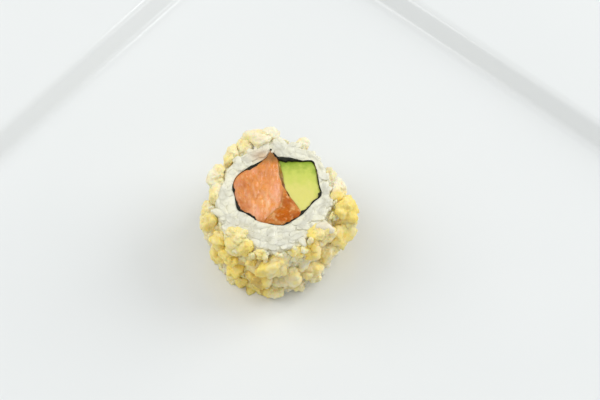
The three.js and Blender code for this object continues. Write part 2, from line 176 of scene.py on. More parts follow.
# Odd numbers that scramble the place of a lattice corner, its seed, and then the result, after a shift.
SCRAMBLE_PLACE = (73856093, 19349663, 83492791)
SCRAMBLE_SEED = 7919
SCRAMBLE_RESULT = [(13, 1274126177), (15, 668265263)]
LAST_SHIFT = 11


def make_draw(seed):
    """A repeatable draw of numbers from 0 to 1: the state times 16807, modulo 2^31 - 1."""
    state = seed

    def draw():
        nonlocal state
        state = state * DRAW_FACTOR % LARGEST
        return state / LARGEST

    return draw


def lattice_noise(points, pitch, seed):
    """Smooth noise from -1 to 1. Each corner of a cubic lattice of that pitch holds a scrambled number,
    and a point takes the mean of its cell's eight corners, weighted by 3f^2 - 2f^3 of its place f in
    the cell."""
    place = points / pitch
    cell = np.floor(place).astype(np.int64)
    part = place - cell
    weight = part * part * (3 - 2 * part)
    total = np.zeros(points.shape[:-1])
    for corner in itertools.product((0, 1), repeat=3):
        key = np.bitwise_xor.reduce((cell + corner) * SCRAMBLE_PLACE, axis=-1) + seed * SCRAMBLE_SEED
        for shift, factor in SCRAMBLE_RESULT:
            key = (key ^ (key >> shift)) * factor & LARGEST
        share = np.where(corner, weight, 1 - weight).prod(-1)
        total += share * ((key ^ (key >> LAST_SHIFT)) / 2**30 - 1)
    return total


def layered_noise(points, pitch, seed, layers=3):
    """Lattice noise at a pitch, plus half as much at half the pitch, and so on."""
    return sum(lattice_noise(points, pitch / 2**k, seed + k) / 2**k for k in range(layers))


def ramp(numbers, low, high):
    """0 at low, 1 at high, straight between them and held beyond them."""
    return np.clip((numbers - low) / (high - low), 0, 1)


def circle(steps):
    """Angles spaced evenly round a circle."""
    return np.arange(steps) * 2 * math.pi / steps


def unit(vectors):
    """The vectors' directions, each one long."""
    return vectors / np.linalg.norm(vectors, axis=-1, keepdims=True)


def leftwards(ahead):
    """Directions of the cut plane turned a quarter to the left."""
    return np.stack([-ahead[..., 1], ahead[..., 0]], -1)


def turned(points, turn):
    """Points turned about +Z."""
    x, y, z = np.moveaxis(points, -1, 0)
    cos, sin = np.cos(turn), np.sin(turn)
    return np.stack([cos * x - sin * y, sin * x + cos * y, z], -1)


def spots(points, places):
    """Soft spots of the cut plane, summed: each is its weight times exp(-d^2), d being the distance from
    its middle in units of its two reaches."""
    away = [(((points[..., :2] - middle) / reach) ** 2).sum(-1) for _, middle, reach in places]
    return sum(weight * np.exp(-square) for (weight, _, _), square in zip(places, away))


def cut_height(y):
    """The upper cut face of the roll, a slightly sloping plane."""
    return CUT_HEIGHT + CUT_SLOPE * y


def through_points(p0, p1, p2, p3, t):
    """Point and direction on the Catmull-Rom cubic from p1 to p2, a share t of the way. Its slope at each
    of them is half the step between that point's neighbours."""
    slope1, slope2 = (p2 - p0) / 2, (p3 - p1) / 2
    cubic = 2 * p1 - 2 * p2 + slope1 + slope2
    square = -3 * p1 + 3 * p2 - 2 * slope1 - slope2
    point = ((cubic * t + square) * t + slope1) * t + p1
    return point, (3 * cubic * t + 2 * square) * t + slope1


def closed_curve(points, place):
    """Points and directions on the closed curve through a ring of points, at places counted in them."""
    first = np.floor(place).astype(int)
    near = (points[(first + k) % len(points)] for k in (-1, 0, 1, 2))
    return through_points(*near, (place - first)[..., None])


def open_curve(points, steps):
    """Points along the curve through a row of points, from the first to the last."""
    points = np.array(points, float)
    place = np.linspace(0, len(points) - 1.001, steps)
    first = place.astype(int)
    padded = np.vstack([2 * points[0] - points[1], points, 2 * points[-1] - points[-2]])
    near = (padded[first + k] for k in range(4))
    return through_points(*near, (place - first)[:, None])[0]


def even_ring(points, steps):
    """Points spaced evenly along the closed curve through a ring of points."""
    fine = closed_curve(np.array(points, float), np.arange(len(points) * FINE_STEPS) / FINE_STEPS)[0]
    run = np.linalg.norm(np.roll(fine, -1, axis=0) - fine, axis=-1)
    travelled = np.concatenate([[0], np.cumsum(run)])
    closed = np.vstack([fine, fine[:1]])
    even = np.linspace(0, travelled[-1], steps, endpoint=False)
    return np.stack([np.interp(even, travelled, column) for column in closed.T], -1)


def nori_outline(share, inwards=0.0):
    """The closed curve through the nori's points, a share of the way round, and moved inwards."""
    point, ahead = closed_curve(NORI_POINTS, np.mod(share, 1) * len(NORI_POINTS))
    return point + np.asarray(inwards)[..., None] * leftwards(unit(ahead))


def closed_path(corners, steps):
    """Points on straight legs from corner to corner and back to the first, with so many steps on each
    leg."""
    legs = zip(corners, [*corners[1:], corners[0]], steps)
    return np.vstack([np.linspace(start, end, count, endpoint=False) for start, end, count in legs])


def rice_radius(turn, height):
    """The rice's outside: an oval a little off the middle, with slow lumps, that spreads by the square of
    the depth below the cut face, as rice sags."""
    oval = RICE_OVAL * np.cos(2 * (turn - RICE_OVAL_TURN))
    shift = RICE_SHIFT[0] * np.cos(turn) + RICE_SHIFT[1] * np.sin(turn)
    lumps = sum(size * np.cos(number * turn + phase) for size, number, phase in RICE_LUMPS)
    sag = RICE_SAG * np.maximum(0, 1 - height / CUT_HEIGHT) ** 2
    return RICE_RADIUS + oval + shift + lumps + sag


def on_bare_side(turn):
    """Whether a turn round the roll lies where the rice near the rim is bare."""
    turn = np.mod(turn, 2 * math.pi)
    return (turn > BARE_FROM) & (turn < BARE_TO)


def around(turn, radius, height):
    """Points at a turn round the roll's middle, so far from it, and at a height."""
    return np.stack(np.broadcast_arrays(radius * np.cos(turn), radius * np.sin(turn), height), -1)


def in_cut(xy):
    """Points of the cut plane, at height 0."""
    return np.concatenate([xy, 0 * xy[..., :1]], -1)


def stood_up(xy, up, top):
    """Points over those of the cut plane, a share of the way up from the roll's foot to the height top."""
    z = REST_GAP + up * (top - REST_GAP)
    return np.concatenate([xy, z[..., None]], -1)


def on_plate(points):
    """Points of the roll's frame in the frame of the whole: turned about +Z and moved to the roll's
    place."""
    return turned(points, ROLL_TURN) + (*ROLL_PLACE, FLOOR_TOP)


# ---- Meshes from grids of points


def skin(grid):
    """Points and faces of a closed skin from a grid of rounds, of which the first and the last each
    shrink to one point."""
    rounds, steps = grid.shape[0] - 2, grid.shape[1]
    points = np.vstack([grid[0].mean(0), grid[1:-1].reshape(-1, 3), grid[-1].mean(0)])
    index = 1 + np.arange(rounds * steps).reshape(rounds, steps)
    ahead = np.roll(index, -1, axis=1)
    quads = np.stack([index[:-1], ahead[:-1], ahead[1:], index[1:]], -1).reshape(-1, 4)
    first = np.stack([np.zeros(steps, int), ahead[0], index[0]], -1)
    last = np.stack([index[-1], ahead[-1], np.full(steps, len(points) - 1)], -1)
    return points, [quads, first, last]


def band(grid):
    """Points and faces of a ring's skin, from a grid that closes on itself both ways."""
    index = np.arange(grid.shape[0] * grid.shape[1]).reshape(grid.shape[:2])
    ahead = np.roll(index, -1, axis=1)
    above, above_ahead = np.roll(index, -1, axis=0), np.roll(ahead, -1, axis=0)
    return grid.reshape(-1, 3), [np.stack([index, ahead, above_ahead, above], -1).reshape(-1, 4)]


def copies(shapes, faces):
    """Points and faces of many shapes with the same faces, from an array of shapes, points and
    coordinates."""
    offsets = (np.arange(shapes.shape[0]) * shapes.shape[1])[:, None, None]
    return shapes.reshape(-1, 3), [(offsets + part).reshape(-1, part.shape[1]) for part in faces]


def enclosed_volume(points, faces):
    """Six times the signed volume inside the faces: the sum over fans of triangles of a . (b x c)."""
    total = 0.0
    for part in faces:
        corners = points[part]
        for k in range(1, part.shape[1] - 1):
            total += np.einsum("ij,ij->", corners[:, 0], np.cross(corners[:, k], corners[:, k + 1]))
    return total


def add_object(name, data):
    thing = bpy.data.objects.new(name, data)
    bpy.context.scene.collection.objects.link(thing)
    return thing


def make_piece(name, shape, material, node=None, values=None):
    """A smooth piece from points in millimetres of the whole's frame and groups of faces, turned to face
    outwards. Each entry of values is a number for every point, kept as an attribute that its material
    reads."""
    points, faces = shape
    if enclosed_volume(points, faces) < 0:
        faces = [part[:, ::-1] for part in faces]
    sizes = np.concatenate([np.full(len(part), part.shape[1]) for part in faces])
    corners = np.concatenate([part.ravel() for part in faces]).astype(np.int32)
    mesh = bpy.data.meshes.new(name)
    mesh.vertices.add(len(points))
    mesh.vertices.foreach_set("co", (points * MM).astype(np.float32).ravel())
    mesh.loops.add(len(corners))
    mesh.loops.foreach_set("vertex_index", corners)
    mesh.polygons.add(len(sizes))
    mesh.polygons.foreach_set("loop_start", (np.cumsum(sizes) - sizes).astype(np.int32))
    mesh.polygons.foreach_set("use_smooth", np.ones(len(sizes), bool))
    mesh.update(calc_edges=True)
    for key, numbers in (values or {}).items():
        attribute = mesh.attributes.new(key, "FLOAT", "POINT")
        attribute.data.foreach_set("value", np.asarray(numbers, np.float32).ravel())
    mesh.materials.append(material)
    piece = add_object(name, mesh)
    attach(piece, "root")
    if node:
        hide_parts(node)


# ---- Finishes


class Finish:
    """A material under way: its nodes are added by short calls, and patterns are sized in millimetres."""

    def __init__(self, name, **sockets):
        # Sockets are given by their names, with _ for each space.
        self.material = bpy.data.materials.new(name)
        self.material.use_nodes = True
        self.tree = self.material.node_tree
        self.shader = self.tree.nodes["Principled BSDF"]
        for key, value in sockets.items():
            self.shader.inputs[key.replace("_", " ")].default_value = value
        self.place = self.tree.nodes.new("ShaderNodeTexCoord").outputs["Object"]

    def let_light_in(self, weight, depth, reach):
        """Light enters with that weight, and as deep as depth, in millimetres, times the reach of its
        red, green and blue."""
        for key, value in (("Weight", weight), ("Scale", depth * MM), ("Radius", reach)):
            self.shader.inputs["Subsurface " + key].default_value = value

    def link(self, source, target):
        self.tree.links.new(source, target)

    def noise(self, size, detail=3.0):
        """Cloudy noise from 0 to 1 with lumps of that size."""
        node = self.tree.nodes.new("ShaderNodeTexNoise")
        node.inputs["Scale"].default_value = 1 / (size * MM)
        node.inputs["Detail"].default_value = detail
        node.inputs["Roughness"].default_value = 0.55
        self.link(self.place, node.inputs["Vector"])
        return node.outputs["Fac"]

    def patches(self, size, low, high):
        """A number that runs from low to high in patches of that size."""
        return self.span(self.noise(size), 0.3, 0.7, low, high)

    def uneven(self, number, size, detail, depth):
        """A number with noise added, by up to half of depth either way."""
        waver = self.math("MULTIPLY", self.math("SUBTRACT", self.noise(size, detail), 0.5), depth)
        return self.math("ADD", number, waver)

    def value(self, name):
        """The piece's own attribute."""
        node = self.tree.nodes.new("ShaderNodeAttribute")
        node.attribute_name = name
        return node.outputs["Fac"]

    def span(self, source, low, high, to_low=0.0, to_high=1.0):
        """A number stretched from one range to another, and held inside it."""
        node = self.tree.nodes.new("ShaderNodeMapRange")
        node.interpolation_type = "SMOOTHSTEP"
        for key, number in zip(("From Min", "From Max", "To Min", "To Max"), (low, high, to_low, to_high)):
            node.inputs[key].default_value = number
        self.link(source, node.inputs["Value"])
        return node.outputs["Result"]

    def math(self, operation, first, second):
        node = self.tree.nodes.new("ShaderNodeMath")
        node.operation = operation
        for source, target in zip((first, second), node.inputs):
            if isinstance(source, (int, float)):
                target.default_value = source
            else:
                self.link(source, target)
        return node.outputs["Value"]

    def mix(self, factor, first, second):
        """Two colours mixed. Either may be a colour or another node's output."""
        node = self.tree.nodes.new("ShaderNodeMix")
        node.data_type = "RGBA"
        self.link(factor, node.inputs["Factor"])
        for source, key in ((first, "A_Color"), (second, "B_Color")):
            target = next(s for s in node.inputs if s.identifier == key)
            if isinstance(source, tuple):
                target.default_value = (*source, 1)
            else:
                self.link(source, target)
        return next(s for s in node.outputs if s.identifier == "Result_Color")

    def color(self, source):
        self.link(source, self.shader.inputs["Base Color"])

    def roughness(self, source):
        self.link(source, self.shader.inputs["Roughness"])

    def bump(self, *layers):
        """Fine relief: each layer is a pattern and its depth in millimetres."""
        normal = None
        for source, depth in layers:
            node = self.tree.nodes.new("ShaderNodeBump")
            node.inputs["Distance"].default_value = depth * MM
            self.link(source, node.inputs["Height"])
            if normal:
                self.link(normal, node.inputs["Normal"])
            normal = node.outputs["Normal"]
        self.link(normal, self.shader.inputs["Normal"])


GLAZE_ENDS = (0.9, 0.4)  # heights over the table, between which the glaze gives way to bare clay


def porcelain_finish():
    """White glaze with a slow unevenness, and bare matt clay on the ring that the plate stands on."""
    look = Finish("porcelain_glaze", IOR=1.5)
    glaze = look.mix(look.noise(60, detail=2), (0.778, 0.80, 0.793), (0.802, 0.82, 0.812))
    height = look.tree.nodes.new("ShaderNodeSeparateXYZ")
    look.link(look.place, height.inputs["Vector"])
    bare = look.span(height.outputs["Z"], *(end * MM for end in GLAZE_ENDS))
    clay = look.mix(look.noise(0.8), (0.66, 0.63, 0.58), (0.78, 0.76, 0.72))
    look.color(look.mix(bare, glaze, clay))
    look.roughness(look.math("MAXIMUM", look.patches(25, 0.07, 0.12), look.math("MULTIPLY", bare, 0.7)))
    look.bump((look.noise(38, detail=1), 0.05), (look.noise(3.5, detail=1), 0.002))
    return look.material


def rice_finish():
    """Cooked rice: moist, slightly see-through grains, chalky in places and stained by the salmon's oil."""
    look = Finish("sushi_rice", Specular_IOR_Level=0.55)
    look.let_light_in(0.28, 0.9, (1.0, 0.95, 0.85))
    chalky = look.span(look.noise(2.2, detail=4), 0.35, 0.7)
    grain = look.mix(chalky, (0.805, 0.78, 0.60), (0.87, 0.85, 0.69))
    look.color(look.mix(look.math("MULTIPLY", look.value("stain"), 0.75), grain, (0.66, 0.42, 0.22)))
    look.roughness(look.patches(1.1, 0.22, 0.42))
    look.bump((look.noise(1.3, detail=3), 0.06), (look.noise(0.5, detail=3), 0.025))
    return look.material


def crumb_finish():
    """Fried batter: golden, paler where it is thin or at the back, olive brown low in front as painted
    shade, deeper golden in the creases as painted shade, toasted in spots, dry with a little oil."""
    look = Finish("tempura_crumb", Specular_IOR_Level=0.4)
    look.let_light_in(0.4, 1.4, (1.0, 0.6, 0.3))
    pale = look.mix(look.noise(1.6, detail=4), (0.93, 0.86, 0.62), (0.94, 0.91, 0.77))
    gold = look.mix(look.noise(1.3, detail=4), (1.0, 0.72, 0.15), (1.0, 0.82, 0.25))
    golden = look.uneven(look.value("golden"), 2.0, 4, 0.9)
    body = look.mix(look.span(golden, 0.0, 1.0), pale, gold)
    # Painted shade: past 1, golden darkens the crumbs to olive brown, low on the roll in front.
    body = look.mix(look.span(golden, 1.0, 1.4), body, (0.66, 0.46, 0.11))
    # Painted shade: the creases between the puffs turn a deeper, darker golden.
    crease_shade = look.math("MULTIPLY", look.span(look.value("crest"), 0.75, 0.1), 0.14)
    body = look.mix(crease_shade, body, (0.95, 0.74, 0.20))
    toasted = look.math("MULTIPLY", look.span(look.noise(2.6, detail=5), 0.6, 0.76), 0.18)
    look.color(look.mix(toasted, body, (0.80, 0.52, 0.14)))
    look.roughness(look.patches(0.9, 0.38, 0.62))
    look.bump((look.noise(1.1, detail=5), 0.34), (look.noise(0.45, detail=4), 0.2))
    return look.material


def nori_finish():
    """Moist roasted seaweed: green-black, brown where it is stretched thin, with a fine crinkled grain."""
    look = Finish("nori", Specular_IOR_Level=0.25)
    clouds = look.span(look.noise(1.4, detail=5), 0.4, 0.7)
    sheet = look.mix(clouds, (0.007, 0.008, 0.004), (0.020, 0.021, 0.009))
    look.color(look.mix(look.span(look.value("thick"), 0.28, 0.12), sheet, (0.42, 0.24, 0.12)))
    look.roughness(look.patches(0.8, 0.5, 0.75))
    look.bump((look.noise(0.5, detail=4), 0.12))
    return look.material


SALMON_LOOK = {
    "flesh": (0.82, 0.30, 0.045),
    "deep": (0.58, 0.17, 0.02),
    "fat": (0.95, 0.58, 0.29),
    "tint": (0.88, 0.39, 0.21),
    "shine": 0.5,
    "coat": 0.5,
}
SPICY_LOOK = {
    "flesh": (0.53, 0.125, 0.0),
    "deep": (0.38, 0.06, 0.0),
    "fat": (0.86, 0.50, 0.22),
    "tint": (0.62, 0.25, 0.06),
    "shine": 0.12,
    "coat": 0.04,
}


def salmon_finish(name, flesh, deep, fat, tint, shine, coat):
    """Raw salmon: translucent flesh between pale lines of fat, with painted highlights in the fat's colour,
    tinted in places, partly as painted sheen, wet on the cut, and dry and brown at its end."""
    look = Finish(name, Specular_IOR_Level=shine, Coat_Roughness=0.08)
    look.let_light_in(0.4, 1.2, (1.0, 0.4, 0.2))
    body = look.mix(look.value("deep"), flesh, deep)
    tinted = look.mix(look.value("tint"), body, tint)
    # Painted highlights: the fat value also holds pale gleams.
    fat_and_highlight = look.mix(look.value("fat"), tinted, fat)
    look.color(look.mix(look.value("end"), fat_and_highlight, (0.31, 0.135, 0.026)))
    dull = look.math("MULTIPLY", look.value("end"), 0.8)
    look.roughness(look.math("MAXIMUM", look.patches(1.2, 0.25, 0.45), dull))
    wet = look.math("SUBTRACT", 1.0, look.span(look.value("end"), 0.0, 0.5))
    look.link(look.math("MULTIPLY", wet, coat), look.shader.inputs["Coat Weight"])
    look.bump((look.noise(1.4, detail=3), 0.45), (look.noise(0.5, detail=3), 0.16))
    return look.material


def avocado_finish():
    """Ripe avocado: green under the skin, running through yellow-green to butter yellow, smoothly cut."""
    look = Finish("avocado", Specular_IOR_Level=0.4)
    look.let_light_in(0.3, 1.0, (0.9, 1.0, 0.4))
    ripe = look.uneven(look.value("ripe"), 2.4, 5, 0.7)
    middle = look.mix(look.span(ripe, 0.0, 0.5), (0.29, 0.42, 0.035), (0.60, 0.655, 0.12))
    look.color(look.mix(look.span(ripe, 0.45, 1.0), middle, (0.74, 0.70, 0.19)))
    look.roughness(look.patches(1.5, 0.28, 0.42))
    look.bump((look.noise(2.2, detail=3), 0.2), (look.noise(0.5, detail=4), 0.08))
    return look.material


def sauce_finish():
    """Chilli sauce: olive amber, clear and glossy, browner where salmon colours it."""
    look = Finish("chilli_sauce", Specular_IOR_Level=0.4)
    look.let_light_in(0.5, 0.8, (1.0, 0.45, 0.1))
    clouds = look.span(look.noise(1.6, detail=4), 0.35, 0.65)
    clear = look.mix(clouds, (0.30, 0.15, 0.006), (0.44, 0.27, 0.02))
    look.color(look.mix(look.value("brown"), clear, (0.17, 0.055, 0.004)))
    look.roughness(look.patches(0.9, 0.15, 0.25))
    look.bump((look.noise(0.8), 0.05))
    return look.material


# ---- The plate


def square_outline(half, share):
    """Points of the plate's outline with the given half side, a share of the way round. Each quarter is
    straight, then a quarter circle, then straight, and each coordinate swells by BOW_SHARE times one
    less the other's square."""
    quarter = np.floor(share * 4)
    along = share * 4 - quarter
    turn = np.clip((along - STRAIGHT_SHARE) / (1 - 2 * STRAIGHT_SHARE), 0, 1) * math.pi / 2
    straight = 1 - CORNER_SHARE
    round_x, round_y = straight + CORNER_SHARE * np.cos(turn), straight + CORNER_SHARE * np.sin(turn)
    x = np.where(along > 1 - STRAIGHT_SHARE, straight * (1 - along) / STRAIGHT_SHARE, round_x)
    y = np.where(along < STRAIGHT_SHARE, straight * along / STRAIGHT_SHARE, round_y)
    x, y = x * (1 + BOW_SHARE * (1 - y * y)), y * (1 + BOW_SHARE * (1 - x * x))
    cos, sin = np.cos(quarter * math.pi / 2), np.sin(quarter * math.pi / 2)
    return half[:, None] * (cos * x - sin * y), half[:, None] * (sin * x + cos * y)


def rounded_profile(corners):
    """Half sides and heights along a profile through corners (half side, height, rounding). A corner p is
    cut back to a and b, at its rounding from it, and bridged by (1-t)^2 a + 2t(1-t) p + t^2 b."""
    points = np.array([corner[:2] for corner in corners], float)
    profile = [points[:1]]
    t = np.linspace(0, 1, ROUNDING_STEPS)[:, None]
    for before, p, after, (_, _, rounding) in zip(points, points[1:], points[2:], corners[1:]):
        a, b = p + rounding * unit(before - p), p + rounding * unit(after - p)
        profile.append((1 - t) ** 2 * a + 2 * t * (1 - t) * p + t * t * b)
    return np.vstack([*profile, points[-1:]])


def make_plate(material):
    """The whole plate as one skin: its profile, from the middle underneath out over the foot ring and the
    rim and back to the middle of the floor, is carried round the square outline."""
    step_top = FLOOR_TOP + STEP_RISE
    edge_top = step_top + RIM_RISE
    step_outer = WELL_HALF + STEP_RUN
    profile = rounded_profile([
        (0, FLOOR_UNDER, 0),
        (FOOT_INNER_HALF, FLOOR_UNDER, FOOT_EASE),
        (FOOT_INNER_HALF + FOOT_SLOPE, 0, FOOT_ROUND),
        (FOOT_OUTER_HALF, 0, FOOT_ROUND),
        (FOOT_OUTER_HALF + FOOT_SLOPE, FLOOR_UNDER, FOOT_EASE),
        (WELL_HALF + UNDER_OUT, FLOOR_UNDER + UNDER_RISE, UNDER_ROUND),
        (step_outer + UNDER_OUT, step_top - RIM_THICK, UNDER_ROUND),
        (PLATE_HALF, edge_top - RIM_THICK, RIM_ROUND),
        (PLATE_HALF, edge_top, RIM_ROUND),
        (step_outer, step_top, STEP_ROUND),
        (WELL_HALF, FLOOR_TOP, STEP_ROUND),
        (0, FLOOR_TOP, 0),
    ])
    x, y = square_outline(profile[:, 0], np.arange(PLATE_STEPS) / PLATE_STEPS)
    z = np.broadcast_to(profile[:, 1:], x.shape)
    make_piece("plate_dish", skin(np.stack([x, y, z], -1)), material, "plate")


# ---- The rice

RICE_STEPS = 220  # round the core
CORE_STEPS = (7, 29, 17, 7)  # over its foot, up its side, over the cut face and down its inside
CORE_SINK_TOP = 0.4  # how far the core lies under the grains at the cut face
CORE_SINK_SIDE = 0.7
CORE_TUCK = 0.05  # how far it reaches into the nori
CORE_ROUND_OVER = 1.0  # its outer edge is rounded as if it were cut this much higher
CUT_ROUND = 3.2  # rounding of the cut face's outer edge
CUT_SOFT = 0.22  # softness of a cut grain's edge
CUT_UNEVEN = 0.2  # how far below the knife's cut a grain's top may lie
LENGTH_SPREAD = 0.22  # of the grains' half lengths
WIDTH_SPREAD = 0.09  # of their half widths and half heights
NORI_CLEAR = 0.12  # how near a grain may come to the nori

# Grains in the cut face lie in layers, on rings round the nori.
LAYER_DEPTHS = (0.5, 1.2, 1.9)
FIRST_RING = 1.25  # out from the nori
FIRST_RING_RADIUS = 13.5
RINGS_OUT = np.arange(0.35, 8.5, 1.8)
RING_PITCH = 3.9  # of the grains on a ring
RIM_MARGIN = 1.1
RING_STAGGER = 0.37  # grains that one ring is turned against the next, for each millimetre out
LAYER_STAGGER = 0.5  # and one layer against the next
TOP_UP = np.array([0.12, 0.1, 1.0])  # which way the upper side of a grain looks

# Grains on the side lie in level rows.
ROW_HEIGHTS = np.arange(1.2, 25.2, 2.15)
ROW_PITCH = 4.6
ROW_SINK = 1.15

OUTLINE_STEPS = 480  # points of the nori's outline, when the nearest of them is looked for
AT_ONCE = 20000  # points that look for it at a time, to save memory

LOOSE_SIZE = (3.2, 1.65, 1.5)  # half sizes of the one loose grain
LOOSE_PLACE = (17.0, -12.6, 25.2)
LOOSE_ALONG = (1.0, -0.22, -0.12)
LOOSE_UP = (0.3, -0.4, 0.87)
LOOSE_STAIN = 0.25


def rim_drop(across):
    """How far the rounded outer edge lies below the cut face, that far in from the side: a quarter
    circle."""
    inside = np.clip(1 - across / CUT_ROUND, 0, 1)
    return CUT_ROUND * (1 - np.sqrt(1 - inside * inside))


def make_rice_core(material):
    """The pressed rice under the grains. Its section runs out over the foot, up the side and back over
    the cut face to the nori, and its ring follows the nori inside and the rice's oval outside."""
    # Each section point is its share of the way from the nori to the side, and its share of the height.
    section = closed_path([(0, 0), (1, 0), (1, 1), (0, 1)], CORE_STEPS)
    across, up = section[:, :1], section[:, 1:]
    inner = nori_outline(np.arange(RICE_STEPS) / RICE_STEPS, CORE_TUCK)
    turn = np.arctan2(inner[:, 1], inner[:, 0])
    height = up * CUT_HEIGHT
    outer = rice_radius(turn, height) - CORE_SINK_SIDE - rim_drop(CUT_HEIGHT + CORE_ROUND_OVER - height)
    radius_in = np.linalg.norm(inner, axis=-1)
    xy = around(turn, radius_in + (outer - radius_in) * across, 0)[..., :2]
    grid = stood_up(xy, up, cut_height(xy[..., 1]) - CORE_SINK_TOP)
    lumps = 0.3 * lattice_noise(grid, 2.6, 11) + 0.1 * lattice_noise(grid, 1.1, 12)
    free_top = (up == 1) & (across > 0) & (across < 1)
    grid[..., :2] *= 1 + np.where(across == 1, lumps, 0)[..., None] / RICE_RADIUS
    grid[..., 2] += np.where(free_top, lumps, 0)
    values = {"stain": spots(grid, STAIN)}
    make_piece("rice_core", band(on_plate(grid)), material, "crumbed_rice", values)


def grain_shape(rounds=9, steps=10):
    """One grain along X, from -1 to 1: a slightly boxy spindle of radius sin(v)^0.8 at -cos(v), bent by a
    square, with the notch of its lost germ at one end."""
    v = np.linspace(0, math.pi, rounds)[:, None]
    w = circle(steps)
    along = -np.cos(v)
    round_ = np.sin(v) ** 0.8
    notch = 1 - 0.3 * np.exp(-(((along - 0.72) / 0.2) ** 2)) * np.maximum(0, np.cos(w))
    x = np.broadcast_to(along, (rounds, steps))
    y = round_ * notch * np.cos(w)
    z = 0.86 * round_ * np.sin(w)
    return np.stack([x, y - 0.22 * (x * x - 0.4), z], -1)


def square_frames(along, out):
    """For each pair of directions, the square frame whose first axis is along and whose third is nearest
    to out."""
    along = unit(along)
    side = unit(np.cross(out, along))
    return np.stack([along, side, np.cross(along, side)], -1)


def distance_out(points):
    """How far points lie outside the nori's outline, in the cut plane, and the way out there."""
    share = np.arange(OUTLINE_STEPS) / OUTLINE_STEPS
    outline = nori_outline(share)
    outward = outline - nori_outline(share, 1.0)
    flat = points[..., :2].reshape(-1, 2)
    parts = np.array_split(flat, 1 + len(flat) // AT_ONCE)
    nearest = np.concatenate([((part[:, None] - outline) ** 2).sum(-1).argmin(1) for part in parts])
    way = outward[nearest]
    distance = ((flat - outline[nearest]) * way).sum(-1)
    return distance.reshape(points.shape[:-1]), way.reshape(*points.shape[:-1], 2)


def top_grains(rng):
    """Places and frames of grains in the cut face: in layers, on rings between the nori and the side, at
    random turns, and tilted a little."""
    places, frames = [], []
    for layer, depth in enumerate(LAYER_DEPTHS):
        for ring in RINGS_OUT:
            count = int(2 * math.pi * (FIRST_RING_RADIUS + ring) / RING_PITCH)
            number = np.arange(count) + RING_STAGGER * ring + LAYER_STAGGER * layer
            base = nori_outline((number + rng.uniform(-0.3, 0.3, count)) / count, -FIRST_RING)
            turn = np.arctan2(base[:, 1], base[:, 0])
            radius = np.linalg.norm(base, axis=-1) + ring + rng.uniform(-0.5, 0.5, count)
            fits = radius < rice_radius(turn, CUT_HEIGHT) - RIM_MARGIN
            turn, radius = turn[fits], radius[fits]
            count = len(turn)
            place = around(turn, radius, -depth)
            edge = rim_drop(rice_radius(turn, CUT_HEIGHT) - radius)
            place[:, 2] += cut_height(place[:, 1]) - edge + rng.uniform(-0.3, 0.3, count)
            lie = turn + math.pi / 2 + rng.normal(0, 0.9, count)
            tilt = rng.normal(0, 0.32, count)
            along = around(lie, np.cos(tilt), np.sin(tilt))
            places.append(place)
            frames.append(square_frames(along, TOP_UP))
    return np.vstack(places), np.vstack(frames)


def side_grains(rng):
    """Places and frames of grains lying against the side, on level rows from the foot to the rim."""
    places, frames = [], []
    for row, height in enumerate(ROW_HEIGHTS):
        count = int(2 * math.pi * RICE_RADIUS / ROW_PITCH)
        turn = (np.arange(count) + 0.5 * (row % 2) + rng.uniform(-0.3, 0.3, count)) * 2 * math.pi / count
        z = height + rng.uniform(-0.5, 0.5, count)
        edge = rim_drop(cut_height(RICE_RADIUS * np.sin(turn)) - z)
        radius = rice_radius(turn, z) - ROW_SINK - edge + rng.uniform(-0.25, 0.3, count)
        out, sideways = around(turn, 1, 0), around(turn + math.pi / 2, 1, 0)
        slant = rng.normal(0, 0.8, count)[:, None]
        lean = rng.normal(0, 0.14, count)[:, None]
        along = np.cos(slant) * sideways + np.sin(slant) * np.array([0, 0, 1.0]) + lean * out
        places.append(around(turn, radius, z))
        frames.append(square_frames(along, out))
    return np.vstack(places), np.vstack(frames)


def cut_through(points, uneven):
    """The heights of points pressed down to the knife's cut. Well under it they stay, and near it the
    corner is soft: cut - s * log(1 + exp(depth / s)), s being CUT_SOFT."""
    cut = cut_height(points[..., 1]) - uneven + 0.05 * lattice_noise(points, 1.5, 22)
    depth = (cut - points[..., 2]) / CUT_SOFT
    return cut - CUT_SOFT * np.logaddexp(0, depth)


def make_rice_grains(material):
    """Loose-looking grains on the core. A point above the knife's cut is pressed down to it, and a point
    inside the nori is moved out to it."""
    rng = np.random.default_rng(31)
    place, frames = (np.vstack(both) for both in zip(top_grains(rng), side_grains(rng)))
    count = len(place)
    size = np.stack([
        rng.normal(GRAIN_LENGTH / 2, LENGTH_SPREAD, count),
        rng.normal(GRAIN_WIDTH / 2, WIDTH_SPREAD, count),
        rng.normal(GRAIN_WIDTH / 2, WIDTH_SPREAD, count),
    ], -1)
    points, faces = skin(grain_shape())
    grains = np.einsum("nij,nvj->nvi", frames, points * size[:, None]) + place[:, None]
    grains += 0.1 * layered_noise(grains, 1.8, 21, 2)[..., None]
    distance, way = distance_out(grains)
    grains[..., :2] += np.maximum(0, NORI_CLEAR - distance)[..., None] * way
    grains[..., 2] = cut_through(grains, rng.uniform(0, CUT_UNEVEN, count)[:, None])
    grains[..., 2] = np.maximum(grains[..., 2], REST_GAP)
    values = {"stain": spots(grains, STAIN)}
    make_piece("rice_grains", copies(on_plate(grains), faces), material, values=values)


def make_loose_grain(material):
    """The one grain that lies loose on the crumbs, right of the front."""
    points, faces = skin(grain_shape(rounds=17, steps=20))
    lie = square_frames(np.array([LOOSE_ALONG]), np.array(LOOSE_UP))[0]
    grain = points * LOOSE_SIZE @ lie.T + LOOSE_PLACE
    values = {"stain": np.full(len(grain), LOOSE_STAIN)}
    make_piece("rice_loose", (on_plate(grain), faces), material, values=values)


# ---- The crumbs


